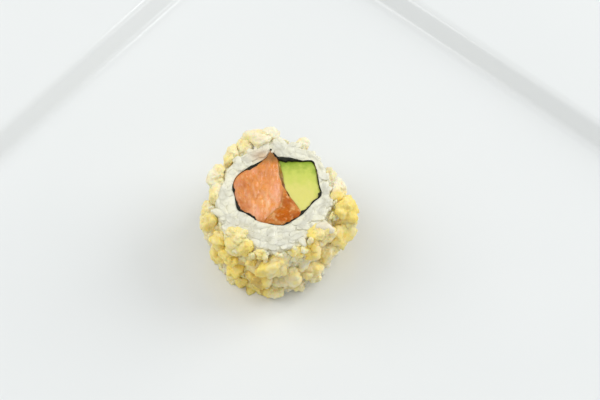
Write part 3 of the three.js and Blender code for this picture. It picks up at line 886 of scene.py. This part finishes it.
def crumb_list():
    """The solids' crumbs, in their order and from their draw: place, turn, size and lobes. The rest lie
    on a spiral of golden angles, and are left out where they crowd another or where the rice is bare."""
    draw = make_draw(CRUMB_SEED)
    crumbs = []

    def middle_at(turn, height, out):
        return around(turn, rice_radius(turn, height) + out, height)

    def add(turn, height, width, tall, depth, out):
        lobes = []
        for _ in range(CRUMB_LOBES):
            rise = 2 * draw() - 1
            spin = 2 * math.pi * draw()
            flat = math.sqrt(1 - rise * rise)
            lobes.append((flat * math.cos(spin), flat * math.sin(spin), rise))
        crumbs.append((middle_at(turn, height, out), turn, (depth, width, tall), lobes))

    for degrees, *rest in LARGE_CRUMBS:
        add(math.radians(degrees), *rest)
    for i in range(FILL_CRUMBS):
        share = (i + 0.5) / FILL_CRUMBS
        turn = i * GOLDEN_ANGLE
        height = FILL_LOW + (FILL_HIGH - FILL_LOW) * share + FILL_JITTER * (draw() - 0.5)
        width = FILL_SMALL + (FILL_LARGE - FILL_SMALL) * draw() ** 2
        tall, depth = (width * (least + more * draw()) for least, more in (FILL_TALL, FILL_DEEP))
        middle = middle_at(turn, height, FILL_OUT)
        crowded = any(np.linalg.norm(c[0] - middle) < CROWDED * (c[2][1] + width) for c in crumbs)
        bare = height > BARE_ABOVE and on_bare_side(turn)
        if not crowded and not bare:
            add(turn, height, width, tall, depth, FILL_OUT)
    return crumbs


# The puffs on a crumb: how wide each is, as a half angle in degrees, and how far it stands out, as a
# share of the crumb's radius. Then the same for the granules on the puffs.
PUFF_ANGLES, PUFF_REACHES = (18, 42), (0.16, 0.42)
GRANULE_ANGLES, GRANULE_REACHES = (6, 15), (0.02, 0.12)
LOBE_BODY = 0.84  # a crumb's radius between its lobes
PUFF_BODY = 0.66  # and between its puffs
PUFF_BEND = 0.28  # how far noise bends the puffs out of round
NOISE_APART = (31.7, 3.7)  # steps between crumbs in the noise that bends them, and in their grit's noise
CRUMB_GRIT = [(1.5, 0.32), (0.7, 0.2)]  # pitch, and how far it stands out on a crumb of GRIT_FULL and more
GRIT_FULL = 5.0

CRUST_STEPS = 460
CRUST_ROWS = 104
CRUST_LUMPS = [(3.4, 71, 2.2), (1.7, 72, 1.1), (0.8, 73, 0.5)]  # pitch, seed, and how far each stands out
CRUST_TOP = 2.4  # below the cut face
CRUST_FADE = 1.8  # height over which it sinks into the rice
CRUST_SINK = 2.6
CRUST_OUT = 0.1  # out from the rice's side, under the lumps
CRUST_BACK = 0.85  # radius of its inside, as a share of its outside's
CRUST_RIM = 1.2  # where it fades, below its top
CRUST_RIM_UNEVEN = 1.4
CRUST_LOWER_AT = (272, 26, 2.2)  # turn and reach in degrees where it fades lower, and by how much

BIT_COUNT = 700
BIT_HEIGHTS = (0.8, 24.4)
BIT_WIDTHS = (1.3, 4.2)
BIT_OUT = (0.2, 2.0)


def ball_grid(rounds, steps):
    """Directions of a ball: angles v from pole to pole, and w round it."""
    v = np.linspace(0, math.pi, rounds)[:, None]
    return around(circle(steps), np.sin(v), np.cos(v))


def puff_swell(directions, rng, number, half_angles, reaches):
    """Round puffs on a ball. At an angle t from the middle of a puff of half angle h and reach a, it
    stands out by a * sqrt(1 - (1 - cos t) / (1 - cos h)), round on top and steep at its foot, and 0
    beyond h. Where puffs overlap, it is the eighth root of the sum of their eighth powers."""
    towards = unit(rng.normal(0, 1, (len(directions), number, 3)))
    width = 1 - np.cos(np.radians(rng.uniform(*half_angles, (len(directions), 1, number))))
    reach = rng.uniform(*reaches, (len(directions), 1, number))
    near = 1 - (1 - np.einsum("nvj,nkj->nvk", directions, towards)) / width
    return ((reach * np.sqrt(np.maximum(near, 0))) ** 8).sum(-1) ** (1 / 8)


def puffy_crumbs(crumbs, rounds, steps, puffs, granules, seed):
    """Crumbs as balls whose radius swells towards each lobe by the fourth power of the cosine to it, and
    is made of puffs with granules on them, at directions bent by noise. Then each is stretched to its
    size and turned to face outwards. Returned are its points and faces, and how high on a puff each
    point is."""
    rng = np.random.default_rng(seed)
    middles, turns, sizes, lobes = (np.array(column, float) for column in zip(*crumbs))
    balls, faces = skin(ball_grid(rounds, steps))
    towards = np.maximum(0, np.einsum("vj,nlj->nvl", balls, lobes))
    lobed = LOBE_BODY + LOBE_REACH * (towards**4).sum(-1)
    apart = balls * 1.4 + NOISE_APART[0] * np.arange(len(middles))[:, None, None]
    bend = np.stack([lattice_noise(apart, 1.0, seed + k) for k in range(3)], -1)
    bent = unit(balls + PUFF_BEND * bend)
    swell = puff_swell(bent, rng, puffs, PUFF_ANGLES, PUFF_REACHES)
    fine = puff_swell(bent, rng, granules, GRANULE_ANGLES, GRANULE_REACHES)
    radius = lobed * (PUFF_BODY + swell + fine)
    shapes = balls * sizes[:, None] / 2 * radius[..., None]
    grit = shapes + NOISE_APART[1] * middles[:, None]
    ragged = sum(depth * lattice_noise(grit, pitch, seed) for pitch, depth in CRUMB_GRIT)
    shapes += balls * (ragged * np.minimum(1, sizes[:, 1:2] / GRIT_FULL))[..., None]
    shapes = turned(shapes, turns[:, None]) + middles[:, None]
    shapes[..., 2] = np.maximum(shapes[..., 2], REST_GAP)
    return shapes, faces, np.clip(swell / 0.4 + 2.5 * (fine - 0.06), 0, 1)


def goldenness(shapes, fried=1.0):
    """How golden a point of a crumb is: read from the values at the rim and at the foot by its turn round
    the roll, mixed by its height, uneven, and less where it was fried less. Past 1, it is painted shade."""
    turn = np.degrees(np.arctan2(shapes[..., 1], shapes[..., 0]))
    rim, foot = (np.interp(turn, *zip(*values), period=360) for values in (GOLDEN_RIM, GOLDEN_FOOT_AND_SHADE))
    high = np.clip(shapes[..., 2] / CUT_HEIGHT, 0, 1)
    return fried * np.clip(foot + (rim - foot) * high + 0.22 * lattice_noise(shapes, 4.0, 60), 0, 1.8)


def make_crumbs(material):
    """The crumbs that the solids have, large and small, and the bits between them. Each kind has its
    mesh's rounds and steps, its puffs and granules, how well it is fried, and its seed."""
    crumbs = crumb_list()
    large, small = crumbs[: len(LARGE_CRUMBS)], crumbs[len(LARGE_CRUMBS) :]
    for name, group, rounds, steps, puffs, granules, fried, seed in (
        ("crumbs_large", large, 48, 54, 34, 150, 1.0, 40),
        ("crumbs_small", small, 30, 36, 20, 80, 0.7, 50),
        ("crumbs_bits", crumb_bits(), 11, 12, 7, 12, 0.5, 60),
    ):
        shapes, faces, crest = puffy_crumbs(group, rounds, steps, puffs, granules, seed)
        values = {"golden": goldenness(shapes, fried), "crest": crest}
        make_piece(name, copies(on_plate(shapes), faces), material, values=values)


def make_crust(material):
    """Fine crumb pressed on the side under the larger ones: a ring whose outside stands off the rice by
    lumps, each the size of a noise without its sign, which is round on top and creased between.
    Towards the rim, and where the rice is bare, it sinks into the rice."""
    turn = circle(CRUST_STEPS)
    top = cut_height(RICE_RADIUS * np.sin(turn)) - CRUST_TOP
    height = np.linspace(REST_GAP, top, CRUST_ROWS)
    side = rice_radius(turn, height) - rim_drop(CUT_HEIGHT - height)
    flat = around(turn, side, height)
    lumps = sum(np.abs(lattice_noise(flat, pitch, seed)) * out for pitch, seed, out in CRUST_LUMPS)
    lower_turn, lower_reach, lower = CRUST_LOWER_AT
    front = np.exp(-(((np.degrees(turn) - lower_turn) / lower_reach) ** 2))
    rim = top - CRUST_RIM - lower * front + CRUST_RIM_UNEVEN * lattice_noise(flat, 3.2, 70)
    rim = np.where(on_bare_side(turn), np.minimum(rim, BARE_ABOVE), rim)
    sunk = np.clip((height - rim) / CRUST_FADE + 0.5, 0, 1)
    outside = around(turn, side + CRUST_OUT + lumps - CRUST_SINK * sunk, height)
    inside = outside[[-1, 0]] * (CRUST_BACK, CRUST_BACK, 1)
    grid = np.concatenate([outside, inside])
    crest = np.concatenate([lumps, lumps[[-1, 0]]]) / 1.3
    values = {"golden": goldenness(grid, 0.5), "crest": np.clip(crest, 0, 1)}
    make_piece("crumbs_crust", band(on_plate(grid)), material, values=values)


def crumb_bits():
    """Broken flakes of crumb, stuck flat in the gaps all over the side."""
    rng = np.random.default_rng(77)
    turns = rng.uniform(0, 2 * math.pi, BIT_COUNT)
    heights = BIT_HEIGHTS[0] + (BIT_HEIGHTS[1] - BIT_HEIGHTS[0]) * rng.uniform(0, 1, BIT_COUNT)
    bare = (heights > BARE_ABOVE) & on_bare_side(turns)
    turns, heights = turns[~bare], heights[~bare]
    count = len(turns)
    radius = rice_radius(turns, heights) + rng.uniform(*BIT_OUT, count) - rim_drop(CUT_HEIGHT - heights)
    width = BIT_WIDTHS[0] + (BIT_WIDTHS[1] - BIT_WIDTHS[0]) * rng.uniform(0, 1, count) ** 1.5
    # Deep, wide and tall, as shares of the width.
    sizes = width[:, None] * rng.uniform((0.5, 0.7, 0.7), (0.9, 1.3, 1.2), (count, 3))
    lobes = unit(rng.normal(0, 1, (count, CRUMB_LOBES, 3)))
    return list(zip(around(turns, radius, heights), turns, sizes, lobes))


# ---- The nori and what it wraps

NORI_STEPS = 620
NORI_ROWS = 12
# How the sheet's cut edge is rounded: each point's share of the thickness inwards, and how far up it
# stands.
NORI_LIP = [(0.06, -0.05), (0.3, 0.03), (0.7, 0.03), (0.94, -0.05)]
NORI_THIN = 0.34  # where the sheet is thinner than this, its edge shrinks back
NORI_FOLD = 0.4  # where it is thicker, it is folded, and its edge stands up

# The mesh of each piece of the filling: points round it, and rounds over its top.
THICK_STEPS, THICK_ROUNDS = 260, 60
THIN_STEPS, THIN_ROUNDS = 180, 44
AVOCADO_STEPS, AVOCADO_ROUNDS = 220, 40
SALMON_TUCK = 0.12  # how far inside the nori's outline, and so under the nori, a piece ends
AVOCADO_TUCK = 0.25
SEAM_STEPS = 60

# Spots of colour on the filling: each one's weight, its middle, and its reach across and along.
# Pink, partly the flesh's own colour and partly painted sheen: the band on the right and the patches stand
# in for the wet cut's shine.
PINK_AND_SHEEN_SPOTS = [
    (0.75, (1.0, 0.8), (1.9, 4.6)),
    (0.45, (-6.5, 8.4), (3, 1.1)),
    (0.4, (-11.2, 4.5), (1.4, 2)),
    (0.8, (-5.0, -7.2), (2.4, 2.0)),
]
PINK_AND_SHEEN_STREAKS = [(0.7, (0.3, -4.4), (1.6, 3.4))]
# Deeper orange: partly the flesh's own colour, partly painted shade, darker on the left edge and lighter in
# the middle of the domed slice.
DEEP_AND_SHADE_SPOTS = [
    (0.35, (-9.4, 2.6), (2.6, 4.5)),
    (0.9, (-9.6, -4.8), (2.6, 1.8)),
    (-0.35, (-2.4, -4.0), (3.4, 4.4)),
]
# Painted highlights: pale streaks in the fat's colour, where the wet cut would glint.
GLEAM_STREAKS = [(0.62, (-2.8, -4.4), (3.8, 4.4))]
AMBER_SPOTS = [(1, (1.0, -10.6), (3.4, 0.9)), (0.9, (7.8, -4.2), (1.8, 3.2))]
# Where a colour changes over a stretch of the cut plane: from where to where.
SHADED_EDGE_X = (3, -2)
BROWN_END_Y = (10.2, 12.8)
RIPE_Y = (12.6, 1.1)
UNRIPE_X = (12.2, 15.7)
SAUCE_BROWN_Y = (9, 3)

SAUCE_START = [(2.0, 11.8), (2.1, 10.6)]
SAUCE_STEPS = 110
SAUCE_ROUND = 14  # points round the bead
SAUCE_WIDE = 0.62  # half its width
SAUCE_TALL = 0.8  # half its height, as a share of that
SAUCE_LOW = 0.72  # its middle, below the cut face


def make_nori(material):
    """A band carried round the nori's outline. Its section goes up the outside, over the cut edge and
    down the inside, and its thickness and the height of its edge change on the way, as a wrapped sheet
    crumples."""
    share = np.arange(NORI_STEPS) / NORI_STEPS
    thick = np.interp(share * len(NORI_POINTS), *zip(*NORI_THICKNESS), period=len(NORI_POINTS))
    flat = in_cut(nori_outline(share))
    thick = thick * (0.95 + 0.5 * lattice_noise(flat, 1.1, 81))
    crinkle = 0.14 * lattice_noise(flat, 2.3, 82) + 0.08 * lattice_noise(flat, 1.1, 83)
    folded = 0.4 * np.clip(thick - NORI_FOLD, 0, 0.7)
    edge = 0.28 + 0.12 * lattice_noise(flat, 1.7, 84) + 0.8 * np.maximum(0, NORI_THIN - thick) - folded
    # Each section point is its share of the thickness inwards, its share of the height, and how far it
    # stands above that.
    wall = np.linspace(0, 0.97, NORI_ROWS)
    lip = [(inwards, 1, over) for inwards, over in NORI_LIP]
    section = [*((0, up, 0) for up in wall), *lip, *((1, up, 0) for up in wall[::-1])]
    xy = np.stack([nori_outline(share, crinkle * up**3 + inwards * thick) for inwards, up, _ in section])
    up, over = np.array(section).T[1:, :, None]
    grid = stood_up(xy, up, cut_height(xy[..., 1]) - edge)
    grid[..., 2] += over
    values = {"thick": np.broadcast_to(thick, grid.shape[:2])}
    make_piece("nori_sheet", band(on_plate(grid)), material, "nori", values)


def filling_outline(from_point, to_point, seams, steps, tuck):
    """The outline of a piece of the filling: along the inside of the nori from one of its points to
    another, and back along the seams. It reaches a little under the nori."""
    number = np.arange(2 * from_point, 2 * to_point + 1) / 2
    along = nori_outline(number / len(NORI_POINTS), tuck)
    return even_ring([*along, *seams], steps)


def filling_block(outline, rounds, top_at):
    """Points and faces of a block with that outline: rounds shrink from it to its middle over the foot,
    go up the side, and shrink again over the top, which stands top_at(point of the cut plane, how far
    in from the edge) over the cut face. Returned with its points in the cut plane."""
    middle = outline.mean(0)
    reach = np.linalg.norm(outline - middle, axis=-1)
    across = np.concatenate([[0, 0.5], np.ones(8), np.linspace(1, 0, rounds) ** 0.8])
    up = np.concatenate([np.zeros(3), np.linspace(0.14, 0.97, 7), np.ones(rounds)])
    xy = middle + across[:, None, None] * (outline - middle)
    top = cut_height(xy[..., 1]) + top_at(in_cut(xy), (1 - across)[:, None] * reach)
    points, faces = skin(stood_up(xy, up[:, None], top))
    return points, faces, points * (1, 1, 0)


def cushion(inside, rise, width, drop, edge):
    """How high a cut piece swells: up to its rise within about that width of its edge, where it falls
    away by its drop."""
    return rise * (1 - np.exp(-inside / width)) - drop * np.exp(-inside / edge)


def fat_lines(flat):
    """Pale lines of fat across a slice of salmon: cosine ridges in bent and wavering rows, raised to a
    power, and broken up by finer noise."""
    x, y = flat[..., 0], flat[..., 1]
    waver = 0.7 * lattice_noise(flat, 5.0, 91) + 0.3 * lattice_noise(flat, 2.2, 92)
    row = (0.93 * x + 0.36 * y + 0.022 * (y + 3) ** 2 + waver) / 2.3
    strength = np.clip(0.3 + 0.5 * lattice_noise(flat, 3.0, 93) + 0.3 * lattice_noise(flat, 0.9, 90), 0, 1)
    return strength * (0.5 + 0.5 * np.cos(2 * math.pi * row)) ** 3


def near_seam(flat, reach):
    """How near points lie to the seam of the two slices of salmon: exp(-distance / reach)."""
    seam = open_curve([MEETING, *SEAM_LEFT], SEAM_STEPS)
    away = np.linalg.norm(flat[..., None, :2] - seam, axis=-1).min(-1)
    return np.exp(-away / reach)


def make_salmon_thick(material):
    """The thick slice: its top swells, drops at the nori and hardly at all at the seam, and has low rows
    of flakes. It is pinker in places, partly as painted sheen, deeper, and darker at its left edge as
    painted shade, streaked with painted highlights in the fat's colour, and brown at its end."""
    seams = [*SEAM_LEFT[::-1], MEETING, *SEAM_TOP[::-1]]
    outline = filling_outline(0, SALMON_FOOT_POINT, seams, THICK_STEPS, SALMON_TUCK)

    def top_at(flat, inside):
        drop = 0.7 - 0.6 * near_seam(flat, 0.8)
        swell = cushion(inside, rise=0.5, width=2.5, drop=drop, edge=0.45)
        rows = 0.3 * layered_noise(flat * (1, 0.4, 1), 1.3, 94, 2) * (1 - np.exp(-inside))
        return swell - 0.15 + 0.14 * layered_noise(flat, 3.0, 94) + rows

    points, faces, flat = filling_block(outline, THICK_ROUNDS, top_at)
    inside = -distance_out(points)[0]
    streaks = np.clip(1.5 * layered_noise(flat * (1, 0.5, 0), 0.75, 88, 2) + 0.1, 0, 1)
    # Partly painted sheen: the pink spots and streaks also stand for the shine of the wet cut.
    pink_and_sheen = spots(flat, PINK_AND_SHEEN_SPOTS) + streaks * spots(flat, PINK_AND_SHEEN_STREAKS)
    pink_and_sheen += 0.2 * lattice_noise(flat, 1.4, 89)
    fibres = layered_noise(flat * (1, 0.6, 0), 0.9, 80, 2)
    deep = 0.26 + 0.35 * layered_noise(flat, 3.4, 86) + 0.22 * fibres + spots(flat, DEEP_AND_SHADE_SPOTS)
    # Painted shade: darker within about 1.4 mm of the nori on the left. Deeper also near the seam, to match
    # the spicy slice.
    deep += 0.8 * np.exp(-inside / 1.4) * ramp(flat[:, 0], *SHADED_EDGE_X) + 0.6 * near_seam(flat, 1.0)
    values = {
        # The fat value holds both the fat lines and the painted highlights of the gleam streaks.
        "fat": np.clip(0.2 * fat_lines(flat) + streaks * spots(flat, GLEAM_STREAKS), 0, 1),
        "tint": np.clip(pink_and_sheen, 0, 1),
        "deep": np.clip(deep, 0, 1),
        "end": 0.92 * ramp(flat[:, 1], *BROWN_END_Y),
    }
    make_piece("salmon_slice", (on_plate(points), faces), material, "salmon_thick", values)


def make_salmon_thin(material):
    """The thin slice in its sauce: lower and bumpier, amber at the seam and in spots, and flecked with
    pale fat, whose flecks also serve as painted glints."""
    seams = [*SEAM_RIGHT[::-1], MEETING, *SEAM_LEFT]
    outline = filling_outline(SALMON_FOOT_POINT, AVOCADO_FOOT_POINT, seams, THIN_STEPS, SALMON_TUCK)

    def top_at(flat, inside):
        drop = 0.6 - 0.55 * near_seam(flat, 0.8)
        swell = cushion(inside, rise=0.2, width=1.5, drop=drop, edge=0.45)
        return swell - 0.3 + 0.3 * layered_noise(flat, 1.8, 95)

    points, faces, flat = filling_block(outline, THIN_ROUNDS, top_at)
    amber = spots(flat, AMBER_SPOTS) + near_seam(flat, 0.9) + 0.2 * lattice_noise(flat, 1.2, 87)
    values = {
        # Partly painted highlights: the pale flecks are fat and also stand in for glints on the wet
        # surface.
        "fat": 0.6 * np.clip(layered_noise(flat, 1.3, 96) * 1.6 - 0.3, 0, 1),
        "tint": np.clip(amber, 0, 1),
        "deep": np.clip(0.4 + 0.7 * layered_noise(flat, 2.6, 85), 0, 1),
        "end": np.zeros(len(flat)),
    }
    make_piece("salmon_spicy", (on_plate(points), faces), material, "salmon_thin", values)


def make_avocado(material):
    """The slice of avocado: smooth, lowest at its back near the salmon, ripest in front, greener under
    the skin at the back and on the right."""
    seams = [*SEAM_TOP, MEETING, *SEAM_RIGHT]
    outline = filling_outline(AVOCADO_FOOT_POINT, len(NORI_POINTS), seams, AVOCADO_STEPS, AVOCADO_TUCK)

    def top_at(flat, inside):
        x, y = flat[..., 0], flat[..., 1]
        low = 0.58 + 0.035 * np.maximum(0, y) * ramp(x, 10.5, 6.5)
        swell = cushion(inside, rise=0.25, width=2.5, drop=0.3, edge=0.5)
        return swell - low + 0.05 * layered_noise(flat, 3.5, 97)

    points, faces, flat = filling_block(outline, AVOCADO_ROUNDS, top_at)
    ripe = ramp(flat[:, 1], *RIPE_Y) - 0.35 * ramp(flat[:, 0], *UNRIPE_X)
    make_piece("avocado_slice", (on_plate(points), faces), material, "avocado", {"ripe": ripe})


def make_sauce(material):
    """Sauce pressed out of the seam between avocado and salmon: a bead carried along the seam, whose
    section is a flat oval that swells and shrinks, with closed ends."""
    line = open_curve([*SAUCE_START, *SEAM_TOP, MEETING, SEAM_RIGHT[0]], SAUCE_STEPS)
    side = leftwards(unit(np.gradient(line, axis=0)))
    flat = in_cut(line)
    ends = np.clip(np.sin(np.linspace(0, math.pi, SAUCE_STEPS)), 0, 1) ** 0.4
    wide = ((SAUCE_WIDE + 0.2 * lattice_noise(flat, 1.6, 98)) * ends)[:, None]
    w = circle(SAUCE_ROUND)
    xy = line[:, None] + (wide * np.cos(w))[..., None] * side[:, None]
    level = cut_height(line[:, 1]) - SAUCE_LOW + 0.08 * lattice_noise(flat, 1.2, 99)
    z = level[:, None] + SAUCE_TALL * wide * np.sin(w)
    points, faces = skin(np.concatenate([xy, z[..., None]], -1))
    values = {"brown": ramp(points[:, 1], *SAUCE_BROWN_Y)}
    make_piece("sauce_bead", (on_plate(points), faces), material, values=values)


# ---- Camera, light and floor

# Each light's azimuth from the photograph's own view and its elevation, its distance and size in metres,
# and its power.
LIGHTS = {
    "softbox_right": (112, 28, 1.1, 0.8, 6.4),
    "softbox_left": (-105, 42, 1.1, 0.8, 5.0),
    "softbox_top": (-8, 72, 1.2, 1.2, 2.8),
    "lamp_back_right": (126, 60, 1.1, 0.2, 0.5),
}
SKY_COLOR = (0.97, 0.985, 1.0, 1)
SKY_STRENGTH = 0.486
TABLE_HALF = 2.0  # in metres


def photo_camera():
    """The camera of the photograph, from the roll's frame: it looks VIEW_DOWN below the level along +Y,
    and stands back so that the middle of the roll's foot is seen at ROLL_PX, at PX_PER_MM."""
    ahead = Vector((0, math.cos(VIEW_DOWN), -math.sin(VIEW_DOWN)))
    up = Vector((0, math.sin(VIEW_DOWN), math.cos(VIEW_DOWN)))
    right = Vector((1, 0, 0))
    across = (ROLL_PX[0] - PHOTO_SIZE[0] / 2) / FOCAL_PX
    above = (PHOTO_SIZE[1] / 2 - ROLL_PX[1]) / FOCAL_PX
    place = -(ahead + across * right + above * up) * FOCAL_PX / PX_PER_MM
    data = bpy.data.cameras.new("photo_view")
    data.sensor_width = SENSOR_MM
    data.lens = SENSOR_MM * FOCAL_PX / PHOTO_SIZE[0]
    data.clip_start = SEEN_FROM
    data.clip_end = SEEN_TO
    camera = add_object("photo_view", data)
    camera.location = Vector(on_plate(np.array(place))) * MM
    camera.rotation_euler = (math.pi / 2 - VIEW_DOWN, 0, ROLL_TURN)
    bpy.context.scene.camera = camera


def soft_light(name, azimuth, elevation, distance, size, power):
    """A square softbox that looks at the roll."""
    turn = ROLL_TURN + math.radians(azimuth)
    rise = math.radians(elevation)
    target = Vector((ROLL_PLACE[0], ROLL_PLACE[1], FLOOR_TOP + CUT_HEIGHT / 2)) * MM
    back = Vector((math.sin(turn) * math.cos(rise), -math.cos(turn) * math.cos(rise), math.sin(rise)))
    data = bpy.data.lights.new(name, "AREA")
    data.shape = "SQUARE"
    data.size = size
    data.energy = power
    light = add_object(name, data)
    light.location = target + back * distance
    light.rotation_euler = (-back).to_track_quat("-Z", "Y").to_euler()


def studio():
    """Light from all round, the softboxes, and a plain pale table."""
    scene = bpy.context.scene
    scene.view_settings.view_transform = "Standard"
    scene.world = bpy.data.worlds.new("studio")
    scene.world.use_nodes = True
    sky = scene.world.node_tree.nodes["Background"]
    sky.inputs["Color"].default_value = SKY_COLOR
    sky.inputs["Strength"].default_value = SKY_STRENGTH
    for name, light in LIGHTS.items():
        soft_light(name, *light)
    mesh = bpy.data.meshes.new("table_top")
    corners = [(x * TABLE_HALF, y * TABLE_HALF, 0) for x, y in ((-1, -1), (1, -1), (1, 1), (-1, 1))]
    mesh.from_pydata(corners, [], [(0, 1, 2, 3)])
    look = Finish("table_paper", Specular_IOR_Level=0.2)
    look.color(look.mix(look.noise(4), (0.84, 0.845, 0.84), (0.86, 0.865, 0.86)))
    look.roughness(look.patches(2, 0.6, 0.75))
    mesh.materials.append(look.material)
    table = add_object("table_top", mesh)


photo_camera()
make_plate(porcelain_finish())
rice = rice_finish()
make_rice_core(rice)
make_rice_grains(rice)
crumb = crumb_finish()
make_crumbs(crumb)
make_crust(crumb)
make_loose_grain(rice)
make_nori(nori_finish())
make_salmon_thick(salmon_finish("salmon", **SALMON_LOOK))
make_salmon_thin(salmon_finish("spicy_salmon", **SPICY_LOOK))
make_avocado(avocado_finish())
make_sauce(sauce_finish())
studio()
